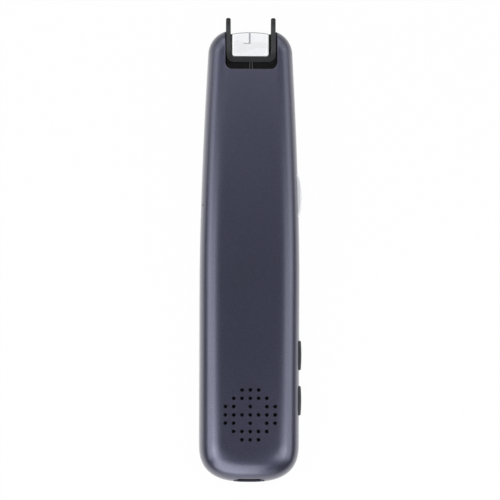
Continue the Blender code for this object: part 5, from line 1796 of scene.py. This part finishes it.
@dataclass
class FrontGlass:
    """The flat glass over the display, ground round at its edge."""

    housing: Housing
    inset: float = 0.00285
    end_y: float = 0.0585
    corner: float = 0.0030
    thickness: float = 0.0010
    edge_round: float = 0.00028
    crease: float = 40

    def build(self) -> Piece:
        """Cuts the glass to its outline and grinds the edge.

        Returns:
            The finished glass.
        """
        outline = self.housing.outline(self.inset, self.end_y, self.corner)
        glass = Bench.plate("glass_pane", outline, 0, self.thickness)
        Bench.round_edges(glass, self.edge_round, 4)
        Bench.smooth(Bench.tidy(glass), self.crease)
        Bench.coat(glass, FRONT_GLASS)
        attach(glass, "pen")
        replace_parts(glass, "front_glass")
        return glass


@dataclass
class ChargingSocket:
    """The drawn shell of the charging socket, and its tongue with gold contacts."""

    width: float = 0.00894
    height: float = 0.00326
    wall: float = 0.0003
    mouth_y: float = -0.07785
    rear_y: float = -0.0705
    middle_z: float = 0.00613
    lip_round: float = 0.00011
    tongue_width: float = 0.00669
    tongue_thickness: float = 0.0007
    tongue_start_y: float = -0.07695
    tongue_end_y: float = -0.0712
    tongue_round: float = 0.00012
    tongue_sink: float = 0.0002
    contacts: int = 12
    contact_pitch: float = 0.0005
    contact_size: tuple[float, float, float] = (0.00028, 0.0034, 0.00006)
    contact_setback: float = 0.0006
    contact_inset: float = 0.00003
    end_steps: int = 16
    crease: float = 32

    def _shell(self) -> Piece:
        """The steel shell with its rounded lip.

        Returns:
            The shell.
        """
        size = (self.width, self.height)
        outline = slot_outline((0, self.middle_z), *size, self.end_steps)
        shell = Bench.plate("socket_shell", outline, self.mouth_y, self.rear_y, Facing.ALONG)
        walls = 2 * self.wall
        bore = slot_outline((0, self.middle_z), *(side - walls for side in size), self.end_steps)
        end = self.rear_y - walls
        tool = Bench.plate("bore", bore, self.mouth_y - OVERRUN, end, Facing.ALONG)
        Bench.combine(shell, "DIFFERENCE", tool)
        Bench.tidy(shell)

        def at_mouth(edge: Edge) -> bool:
            return all(abs(vertex.co.y - self.mouth_y) < WELD_DISTANCE for vertex in edge.verts)

        Bench.round_edges(shell, self.lip_round, 3, at_mouth)
        return Bench.smooth(Bench.tidy(shell), self.crease)

    def _tongue(self) -> Piece:
        """The black tongue, thinner at its tip.

        Returns:
            The tongue.
        """
        half = self.tongue_width / 2
        rise = self.tongue_thickness / 2
        along = (self.tongue_start_y, self.tongue_end_y)
        heights = (self.middle_z - rise, self.middle_z + rise)
        tongue = Bench.beam("socket_tongue", half, along, heights)
        Bench.pick(tongue, "FACE", lambda face: face.normal.y < -FACES_AXIS)
        bpy.ops.mesh.inset(thickness=self.tongue_round)
        bpy.ops.transform.translate(value=(0, self.tongue_sink, 0))
        bpy.ops.object.mode_set(mode="OBJECT")
        side_x = 0.9 * half
        Bench.round_edges(
            tongue, self.tongue_round, 3, lambda edge: abs(edge.verts[0].co.x) > side_x
        )
        return Bench.smooth(Bench.tidy(tongue), self.crease)

    def _contacts(self) -> Piece:
        """Rows of gold contacts on both faces of the tongue.

        Returns:
            All the contacts as one piece.
        """
        width, length, rise = self.contact_size
        start = self.tongue_start_y + self.contact_setback
        copies = []
        for row in (-1, 1):
            face_z = self.middle_z + row * self.tongue_thickness / 2
            for number in range(self.contacts):
                x = (number - (self.contacts - 1) / 2) * self.contact_pitch
                low = (x - width / 2, start, face_z - rise / 2)
                high = (x + width / 2, start + length, face_z + rise / 2)
                contact = Bench.block("contact", low, high)
                Bench.pick(contact, "FACE", lambda face: abs(face.normal.z) > FACES_AXIS)
                bpy.ops.mesh.inset(thickness=self.contact_inset, use_individual=True)
                bpy.ops.object.mode_set(mode="OBJECT")
                copies.append(contact)
        return Bench.join("socket_contacts", copies)

    def build(self) -> list[Piece]:
        """Makes the shell, the tongue and the contacts.

        Returns:
            The finished pieces.
        """
        shell, tongue, contacts = self._shell(), self._tongue(), self._contacts()
        for piece, finish, slot in (
            (shell, SOCKET_STEEL, "steel"),
            (tongue, CHIP, "chip"),
            (contacts, GOLD, "steel"),
        ):
            Bench.coat(piece, finish)
            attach(piece, "pen")
        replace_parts(shell, "usb_socket")
        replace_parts(tongue, "usb_tongue")
        return [shell, tongue, contacts]


@dataclass
class NibFork:
    """The sprung fork: a rounded U with slim arms, and the deck that slides in the head."""

    half: float = 0.00835
    arm: float = 0.0015
    tip_y: float = 0.07845
    bar_y: float = 0.0635
    bar_depth: float = 0.0020
    base_z: float = 0.0030
    top_z: float = 0.0096
    outer_corner: float = 0.0026
    inner_corner: float = 0.0007
    tip_corner: float = 0.00055
    tip_radius: float = 0.0013
    edge_round: float = 0.00032
    taper_steps: int = 24
    corner_steps: int = 6
    tip_steps: int = 20
    pilot_sides: int = 20
    crease: float = 34
    reach: float = 0.01
    sink: float = 0.0003
    deck_half: float = 0.0082
    deck_rear_y: float = 0.0580
    deck_z: float = 0.0088
    deck_round: float = 0.00025
    rib_half: float = 0.00062
    rib_rise: float = 0.0006
    rib_round: float = 0.00018
    rib_run: float = 0.0008
    rib_groove: float = 0.0003
    rail_inner: float = 0.0059
    rail_width: float = 0.0012
    rail_front_y: float = 0.0730
    rail_z: Point = (0.0042, 0.0047)
    rail_round: float = 0.0002
    corner_block: float = 0.0008
    stop_y: Point = (0.0581, 0.0595)
    stop_rise: float = 0.0013
    tab_half: float = 0.0015
    tab_end_y: float = 0.0585
    tab_z: Point = (0.0088, 0.0099)
    tunnel_half: float = 0.0055
    tunnel_z: Point = (0.0040, 0.0078)
    tunnel_run: float = 0.004
    spring_x: float = 0.0072
    pilot_size: Point = (0.0005, 0.002)
    hood_gap: float = 0.0001

    def _plan(self) -> list[Point]:
        """The U seen from the back, with round corners and arm tips.

        Returns:
            Its outline.
        """
        half, tip, inner = self.half, self.tip_corner, self.inner_corner
        corner, steps = self.outer_corner, self.corner_steps
        front, inside = self.bar_y + self.bar_depth, half - self.arm
        points = arc((half - corner, self.bar_y + corner), corner, -QUARTER_TURN, QUARTER_TURN)
        points += arc((half - tip, self.tip_y - tip), tip, 0, QUARTER_TURN, steps)
        points += arc((inside + tip, self.tip_y - tip), tip, QUARTER_TURN, QUARTER_TURN, steps)
        points += arc((inside - inner, front + inner), inner, 0, -QUARTER_TURN, steps)
        return points + [(-x, y) for x, y in reversed(points)]

    def _side(self) -> list[Point]:
        """The arms seen from the side, narrowing to a round tip.

        Returns:
            Their outline.
        """
        middle = (self.base_z + self.top_z) / 2
        full = (self.top_z - self.base_z) / 2
        root = self.bar_y + self.outer_corner
        end = self.tip_y - self.tip_radius
        lower = []
        for step in range(self.taper_steps):
            share = step / self.taper_steps
            ease = share * share * (3 - 2 * share)
            lower.append((root + share * (end - root), full - (full - self.tip_radius) * ease))
        tip = arc((end, middle), self.tip_radius, -QUARTER_TURN, math.pi, self.tip_steps)
        below = [(y, middle - reach) for y, reach in lower]
        above = [(y, middle + reach) for y, reach in reversed(lower)]
        rear = self.bar_y - OVERRUN
        return [(rear, middle + full), (rear, middle - full)] + below + tip + above

    def _frame(self) -> Piece:
        """The U with its side profile and rounded edges.

        Returns:
            The frame.
        """
        heights = (self.base_z - OVERRUN, self.top_z + OVERRUN)
        fork = Bench.plate("fork_frame", self._plan(), *heights)
        side = Bench.plate("fork_side", self._side(), -self.reach, self.reach, Facing.ACROSS)
        Bench.combine(fork, "INTERSECT", side)
        Bench.tidy(fork)
        Bench.pick(fork, "EDGE", lambda edge: True)
        bpy.ops.mesh.dissolve_limited(angle_limit=math.radians(0.5))
        bpy.ops.object.mode_set(mode="OBJECT")
        return Bench.round_edges(fork, self.edge_round, 3)

    def _deck(self) -> Piece:
        """The deck behind the bar, lowered by a chamfer from the bar's top.

        Returns:
            The deck.
        """
        rear, top, rise = self.deck_rear_y, self.deck_z, self.rib_rise
        along = (rear, self.bar_y + self.outer_corner / 2)
        deck = Bench.beam("deck", self.deck_half, along, (self.base_z, top))
        upper = self.base_z + OVERRUN
        Bench.round_edges(deck, self.deck_round, 2, lambda edge: edge.verts[0].co.z > upper)
        along = (rear, self.bar_y + self.rib_run)
        rib = Bench.beam("rib", self.rib_half, along, (top - rise, top + rise))

        def runs_along(edge: Edge) -> bool:
            return abs(edge.verts[0].co.y - edge.verts[1].co.y) > rise

        Bench.round_edges(rib, self.rib_round, 2, runs_along)
        Bench.combine(deck, "UNION", rib)
        along, heights = (rear - rise, self.bar_y), (top + rise / 4, top + 2 * rise)
        groove = Bench.beam("groove", self.rib_groove, along, heights)
        return Bench.combine(deck, "DIFFERENCE", groove)

    @staticmethod
    def _flank(name: str, sign: int, across: Point, along: Point, rise: Point) -> Piece:
        """A block on one side of the fork.

        Args:
            name: The block's name.
            sign: 1 for the right side and -1 for the left.
            across: Its distances from the middle plane.
            along: Where it starts and ends along the pen.
            rise: Its lowest and highest height.

        Returns:
            The block.
        """
        left, right = sorted(sign * place for place in across)
        return Bench.block(name, (left, along[0], rise[0]), (right, along[1], rise[1]))

    def _details(self) -> list[Piece]:
        """Rails beside the hood, stops behind the notch, spring pilots and the switch tab.

        Returns:
            The details, to be joined to the fork.
        """
        middle = (self.base_z + self.top_z) / 2
        front, inner = self.bar_y + self.bar_depth, self.rail_inner
        block, sink, stop_rise = self.corner_block, self.sink, self.stop_rise
        stop_low, stop_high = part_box("nib_fork")
        details = []
        for side in Side:
            sign = side.value
            across = (inner, inner + self.rail_width)
            along = (self.bar_y + self.bar_depth / 2, self.rail_front_y)
            rail = self._flank("rail", sign, across, along, self.rail_z)
            details.append(Bench.round_edges(rail, self.rail_round, 2))
            across, along = (inner - block, inner + block), (front - sink, front + block)
            heights = (self.rail_z[0], self.deck_z)
            details.append(self._flank("corner", sign, across, along, heights))
            across = (self.deck_half - sink, stop_high.x)
            heights = (middle - stop_rise, middle + stop_rise)
            details.append(self._flank("stop", sign, across, self.stop_y, heights))
            seat = (sign * self.spring_x, self.deck_rear_y, middle)
            details.append(Bench.rod("pilot", *self.pilot_size, seat, Axis.Y, self.pilot_sides))
        tab = Bench.beam("tab", self.tab_half, (stop_low.y, self.tab_end_y), self.tab_z)
        return [*details, tab]

    def build(self) -> Piece:
        """Joins the frame, the deck and the details, and opens the tunnel.

        Returns:
            The finished fork.
        """
        fork = self._frame()
        Bench.combine(fork, "UNION", self._deck(), *self._details())
        hood, gap = ClearHood(), self.hood_gap
        step = hood.step_z - gap
        bed = Bench.plate("hood_bed", hood.plan(-gap), step, self.top_z + OVERRUN)
        foot = hood.plan(-gap, hood.foot_half)
        foot_bed = Bench.plate("foot_bed", foot, self.base_z - OVERRUN, step + gap)
        Bench.combine(fork, "DIFFERENCE", bed, foot_bed)
        along = (self.deck_rear_y - 2 * OVERRUN, self.bar_y + self.tunnel_run)
        tunnel = Bench.beam("tunnel", self.tunnel_half, along, self.tunnel_z)
        Bench.combine(fork, "DIFFERENCE", tunnel)
        Bench.settle(Bench.smooth(Bench.tidy(fork), self.crease))
        Bench.coat(fork, NIB_BLACK)
        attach(fork, "nib")
        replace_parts(fork, "nib_fork")
        return fork


@dataclass
class ClearHood:
    """The clear hollow hood between the fork's arms, with its two aim marks."""

    centre_x: float = -0.00022
    half: float = 0.00615
    foot_half: float = 0.0059
    step_z: float = 0.0048
    rear_y: float = 0.0656
    side_y: float = 0.0731
    bulge: float = 0.0005
    bow_steps: int = 32
    corner_steps: int = 6
    crease: float = 34
    rear_corner: float = 0.0007
    least_corner: float = 0.0001
    base_z: float = 0.0038
    top_z: float = 0.0092
    wall: float = 0.00065
    edge_round: float = 0.00014
    opening_half: float = 0.0045
    opening_rise: float = 0.0018
    mark_x: float = -0.00050
    mark_width: float = 0.00060
    mark_start_y: float = 0.0697
    mark_setback: float = 0.00025
    mark_rise: float = 0.00003
    mark_round: float = 0.00002
    tick_length: float = 0.0018
    tick_width: float = 0.00024
    tick_overlap: float = 0.0001

    def plan(self, inset: float, half: float | None = None) -> list[Point]:
        """Plan of the hood with its gently bowed front and rounded rear corners.

        Args:
            inset: How far inside the outer faces it lies.
            half: Half the width of the outer faces, where it isn't the hood's own.

        Returns:
            The closed outline.
        """
        half = (half or self.half) - inset
        rear, steps = self.rear_y + inset, self.corner_steps
        corner = max(self.rear_corner - inset, self.least_corner)
        points = arc((corner - half, rear + corner), corner, math.pi, QUARTER_TURN, steps)
        points += arc((half - corner, rear + corner), corner, -QUARTER_TURN, QUARTER_TURN, steps)
        for step in range(self.bow_steps + 1):
            share = 1 - 2 * step / self.bow_steps
            bow = self.bulge * (1 - share * share)
            points.append((half * share, self.side_y - inset + bow))
        return [(x + self.centre_x, y) for x, y in points]

    def _mark(self) -> Piece:
        """The raised aim line with the tick at its rear end.

        Returns:
            The mark.
        """
        front = self.side_y + self.bulge - self.mark_setback
        low, high = self.top_z - self.mark_rise, self.top_z + self.mark_rise
        left, start = self.mark_x - self.mark_width / 2, self.mark_start_y
        line = Bench.block("aim_line", (left, start, low), (left + self.mark_width, front, high))
        tick_high = (left + self.tick_overlap, start + self.tick_width, high)
        tick = Bench.block("tick", (left - self.tick_length, start, low), tick_high)
        Bench.combine(line, "UNION", tick)
        return Bench.tidy(Bench.round_edges(line, self.mark_round, 1))

    def build(self) -> list[Piece]:
        """Makes the hollow hood and lays the marks on it.

        Returns:
            The hood and the marks.
        """
        hood = Bench.plate("hood", self.plan(0), self.step_z, self.top_z)
        Bench.round_edges(hood, self.edge_round, 3)
        sole = self.plan(0, self.foot_half)
        foot = Bench.plate("hood_foot", sole, self.base_z, self.step_z + self.wall)
        Bench.round_edges(foot, self.edge_round, 3)
        Bench.combine(hood, "UNION", foot)
        hollow = self.plan(self.wall, self.foot_half)
        inside = Bench.plate("inside", hollow, self.base_z + self.wall, self.top_z - self.wall)
        middle = (self.base_z + self.top_z) / 2
        along = (self.rear_y - OVERRUN, self.rear_y + 2 * self.wall)
        heights = (middle - self.opening_rise, middle + self.opening_rise)
        opening = Bench.beam("opening", self.opening_half, along, heights)
        Bench.combine(hood, "DIFFERENCE", inside, opening)
        Bench.smooth(Bench.tidy(hood), self.crease)
        line = self._mark()
        for piece, finish, slot in ((hood, HOOD_CLEAR, "clear"), (line, AIM_GREY, "dark_key")):
            Bench.coat(piece, finish)
            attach(piece, "nib")
        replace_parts(hood, "nib_window")
        return [hood, line]


@dataclass
class Inside:
    """Finishes of the solids that stay as they are, behind the openings and inside."""

    finishes: dict[str, Finish] = field(
        default_factory=lambda: {
            "display_panel": PANEL_GLASS,
            "display_flex": FLEX,
            "mid_frame": STEEL,
            "main_board": BOARD,
            "soc_shield": STEEL,
            "battery_connector": WHITE,
            "display_connector": WHITE,
            "battery_cell": FOIL,
            "battery_lead": SOFT,
            "tail_flex": FLEX,
            "speaker_gasket": SOFT,
            "speaker_mesh": DUST_CLOTH,
            "usb_board": BOARD,
            "key_bracket": STEEL,
            "key_flex": FLEX,
            "microphone": STEEL,
            "optics_carrier": FORK_BLACK,
            "camera_lens": LENS,
            "led_board": BOARD,
            "led_left": Lamp("lamp_left", (-0.0039, 0.0065)),
            "led_right": Lamp("lamp_right", (0.0039, 0.0065)),
            "nib_spring": STEEL,
        }
    )

    def _finish_of(self, name: str) -> Finish:
        """The finish of one node, by its name or the start of it.

        Args:
            name: The node's name.

        Returns:
            The finish.
        """
        for start, finish in self.finishes.items():
            if name.startswith(start):
                return finish
        if "screw" in name:
            return SCREW_STEEL
        if "plunger" in name:
            return WHITE
        if name in ("volume_up_switch", "volume_down_switch", "power_switch"):
            return STEEL
        return CHIP

    def dress(self, replaced: Iterable[str]) -> int:
        """Gives every solid that still shows its finish.

        Args:
            replaced: Nodes that other pieces stand for.

        Returns:
            How many solids were dressed.
        """
        skipped = set(replaced)
        count = 0
        for name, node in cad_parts.items():
            if name in skipped:
                continue
            material = self._finish_of(name).material()
            if not node.data.materials:
                node.data.materials.append(material)
            for place in node.material_slots:
                place.material = material
            count += 1
        return count


@dataclass(frozen=True)
class Softbox:
    """A soft rectangular light that looks at the pen."""

    name: str
    sideways: float
    headwards: float
    size: Point
    power: float
    distance: float = 0.55
    slide: float = 0.0
    tint: Colour = (0.93, 0.95, 1.0)

    def build(self) -> Piece:
        """Hangs the light at its tilt from straight above.

        Returns:
            The light.
        """
        light = bpy.data.lights.new(self.name, "AREA")
        light.shape = "RECTANGLE"
        light.size, light.size_y = self.size
        light.energy = self.power
        light.color = self.tint
        hung = bpy.data.objects.new(self.name, light)
        bpy.context.scene.collection.objects.link(hung)
        across = math.tan(math.radians(self.sideways))
        along = math.tan(math.radians(self.headwards))
        direction = Vector((across, along, 1)).normalized()
        hung.location = direction * self.distance + Vector((0, self.slide, 0))
        hung.rotation_euler = direction.to_track_quat("Z", "Y").to_euler()
        hung.visible_camera = False
        return hung


@dataclass
class Studio:
    """Camera, soft lights and the white floor."""

    roll: float = 3.0
    lean: float = 0.21
    distance: float = 5.0
    frame_width: float = 0.16915
    sensor: float = 36.0
    aim: Vector = field(default_factory=lambda: Vector((0.00013, 0.00000, 0.0042)))
    zenith: float = 0.046
    horizon: float = 0.02
    sky_rise: Point = (0.15, 0.85)
    floor_size: float = 6.0
    floor_z: float = -0.0001
    paper_grain: float = 900.0
    paper_greys: Point = (0.86, 0.90)
    paper_roughness: float = 0.9
    clip_start: float = 0.01
    floor_glow: float = 0.98
    far_glow: float = 0.06
    head_glow: float = 0.40
    head_reach: Point = (0.005, 0.070)
    glow_reach: Point = (0.026, 0.062)
    glow_head: float = 0.030
    lights: tuple[Softbox, ...] = (
        Softbox("left_softbox", -55, 0, (0.44, 0.42), 1.10, slide=-0.18),
        Softbox("right_softbox", 57, 0, (0.44, 0.42), 0.86, slide=-0.18),
        Softbox("left_fill", -31, 0, (0.54, 0.16), 0.12, slide=-0.24),
        Softbox("right_fill", 34, 0, (0.54, 0.16), 0.11, slide=-0.24),
        Softbox("left_tail_softbox", -33, -2, (0.064, 0.070), 0.028, 0.15, -0.094),
        Softbox("right_tail_softbox", 33, -4, (0.070, 0.070), 0.031, 0.15, -0.096),
        Softbox("left_brow_softbox", -66, 66, (0.45, 0.34), 0.46),
        Softbox("right_brow_softbox", 66, 66, (0.45, 0.34), 0.44),
        Softbox("left_head_softbox", -75, 14, (0.30, 0.28), 0.30, slide=0.09),
        Softbox("right_head_softbox", 75, 14, (0.30, 0.28), 0.26, slide=0.09),
        Softbox("crown_softbox", 0, 70, (0.80, 0.36), 0.60),
        Softbox("tail_softbox", -24, -58, (0.42, 0.36), 1.12),
        Softbox("low_tail_softbox", -10, -78, (0.50, 0.24), 0.26),
        Softbox("head_softbox", 0, 0, (0.60, 0.40), 1.36, slide=0.34),
    )

    def _camera(self) -> None:
        """Sets the camera at the photograph's angle, with the lean of the pen in it."""
        roll, lean = math.radians(self.roll), math.radians(self.lean)
        back = Vector((-math.sin(roll), 0, math.cos(roll)))
        up = Vector((-math.sin(lean), math.cos(lean), 0))
        right = up.cross(back).normalized()
        up = back.cross(right)
        lens = bpy.data.cameras.new("camera")
        lens.sensor_width = self.sensor
        lens.lens = self.sensor * self.distance / self.frame_width
        lens.clip_start = self.clip_start
        camera = bpy.data.objects.new("camera", lens)
        bpy.context.scene.collection.objects.link(camera)
        turn = Matrix((right, up, back)).transposed().to_4x4()
        camera.matrix_world = Matrix.Translation(self.aim + back * self.distance) @ turn
        bpy.context.scene.camera = camera

    def _floor(self) -> Piece:
        """Lays the white floor, which takes only a faint shadow.

        Returns:
            The floor.
        """
        Bench.clear()
        bpy.ops.mesh.primitive_plane_add(size=self.floor_size, location=(0, 0, self.floor_z))
        floor = Bench.named("floor")
        graph = Graph("floor_white")
        path = graph.node("ShaderNodeLightPath").outputs
        across, along, _ = graph.axes(graph.place())
        camera, glossy, through = (
            Value(graph, path[ray])
            for ray in ("Is Camera Ray", "Is Glossy Ray", "Is Transmission Ray")
        )
        near = 1 - abs(across).larger(along - self.glow_head).step(*self.glow_reach)
        bright = camera.larger(through).larger(near)
        seen = camera.larger(through) * self.floor_glow
        paper = graph.noise(graph.place(), self.paper_grain, 2)
        dark, light = ((grey,) * 3 for grey in self.paper_greys)
        graph.dress(Base_Color=graph.mix(dark, light, paper), Roughness=self.paper_roughness)
        far = graph.mix(
            (self.far_glow,) * 3, (self.head_glow,) * 3, along.step(*self.head_reach)
        )
        colour = graph.mix(far, (1, 1, 1), bright)
        glow = graph.node("ShaderNodeEmission", None, {"Color": colour, "Strength": 1.0})
        mixed = graph.node(
            "ShaderNodeMixShader",
            None,
            {0: seen.larger(glossy), 1: graph.shader.outputs[0], 2: glow.outputs[0]},
        )
        graph.feed(graph.output.inputs["Surface"], mixed.outputs[0])
        floor.data.materials.append(graph.material)
        return floor

    def _world(self, scene: bpy.types.Scene) -> None:
        """Fills the world with a soft grey that is darker towards the horizon.

        Args:
            scene: The scene to light.
        """
        world = bpy.data.worlds.new("studio_world")
        graph = SkyGraph(world)
        _, _, height = graph.axes(graph.node("ShaderNodeTexCoord").outputs["Generated"])
        low, high = self.sky_rise
        reach = {"From Min": low, "From Max": high}
        light = {"To Min": self.horizon, "To Max": self.zenith}
        ranged = graph.node("ShaderNodeMapRange", None, {"Value": height, **reach, **light})
        background = graph.tree.nodes["Background"].inputs
        graph.feed(background["Strength"], ranged.outputs["Result"])
        graph.feed(background["Color"], (1, 1, 1))
        scene.world = world

    def build(self) -> None:
        """Sets the world, the camera, the floor and the lights."""
        scene = bpy.context.scene
        self._world(scene)
        scene.view_settings.view_transform = "Standard"
        self._camera()
        self._floor()
        for light in self.lights:
            light.build()


VOLUME_UP = KeyPlace("volume_up", -0.0356, 0.0100, 0.0008, 0.0002, KEY_GREY, "dark_key")
VOLUME_DOWN = KeyPlace("volume_down", -0.0509, 0.0100, 0.0008, 0.0002, KEY_GREY, "dark_key")
POWER = KeyPlace("power", 0.0185, 0.0149, 0.0012, 0.0010, KEY_SILVER, "silver_key")


def report(piece: Piece) -> None:
    """Logs one finished piece with its size."""
    count = len(piece.data.polygons)
    size = " x ".join(f"{1000 * length:.1f}" for length in piece.dimensions)
    log.info("%s: %d faces, %s mm", piece.name, count, size)


def main() -> None:
    """Builds the studio and every piece of the pen."""
    logging.basicConfig(level=logging.INFO, format="%(name)s: %(message)s")
    Studio().build()
    housing = Housing()
    places = (VOLUME_UP, VOLUME_DOWN, POWER)
    pieces = [BackCover(housing, places).build()]
    pieces.append(FrontFrame(housing).build())
    pieces.append(FrontGlass(housing).build())
    pieces += [SideKey(housing, place).build() for place in places]
    pieces += ChargingSocket().build()
    pieces.append(NibFork().build())
    pieces += ClearHood().build()
    for piece in pieces:
        report(piece)
    replaced = [name for piece in pieces for name in piece.get("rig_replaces", [])]
    log.info("%d solids keep their own shape", Inside().dress(replaced))
    Bench.clear()


if __name__ == "__main__":
    main()
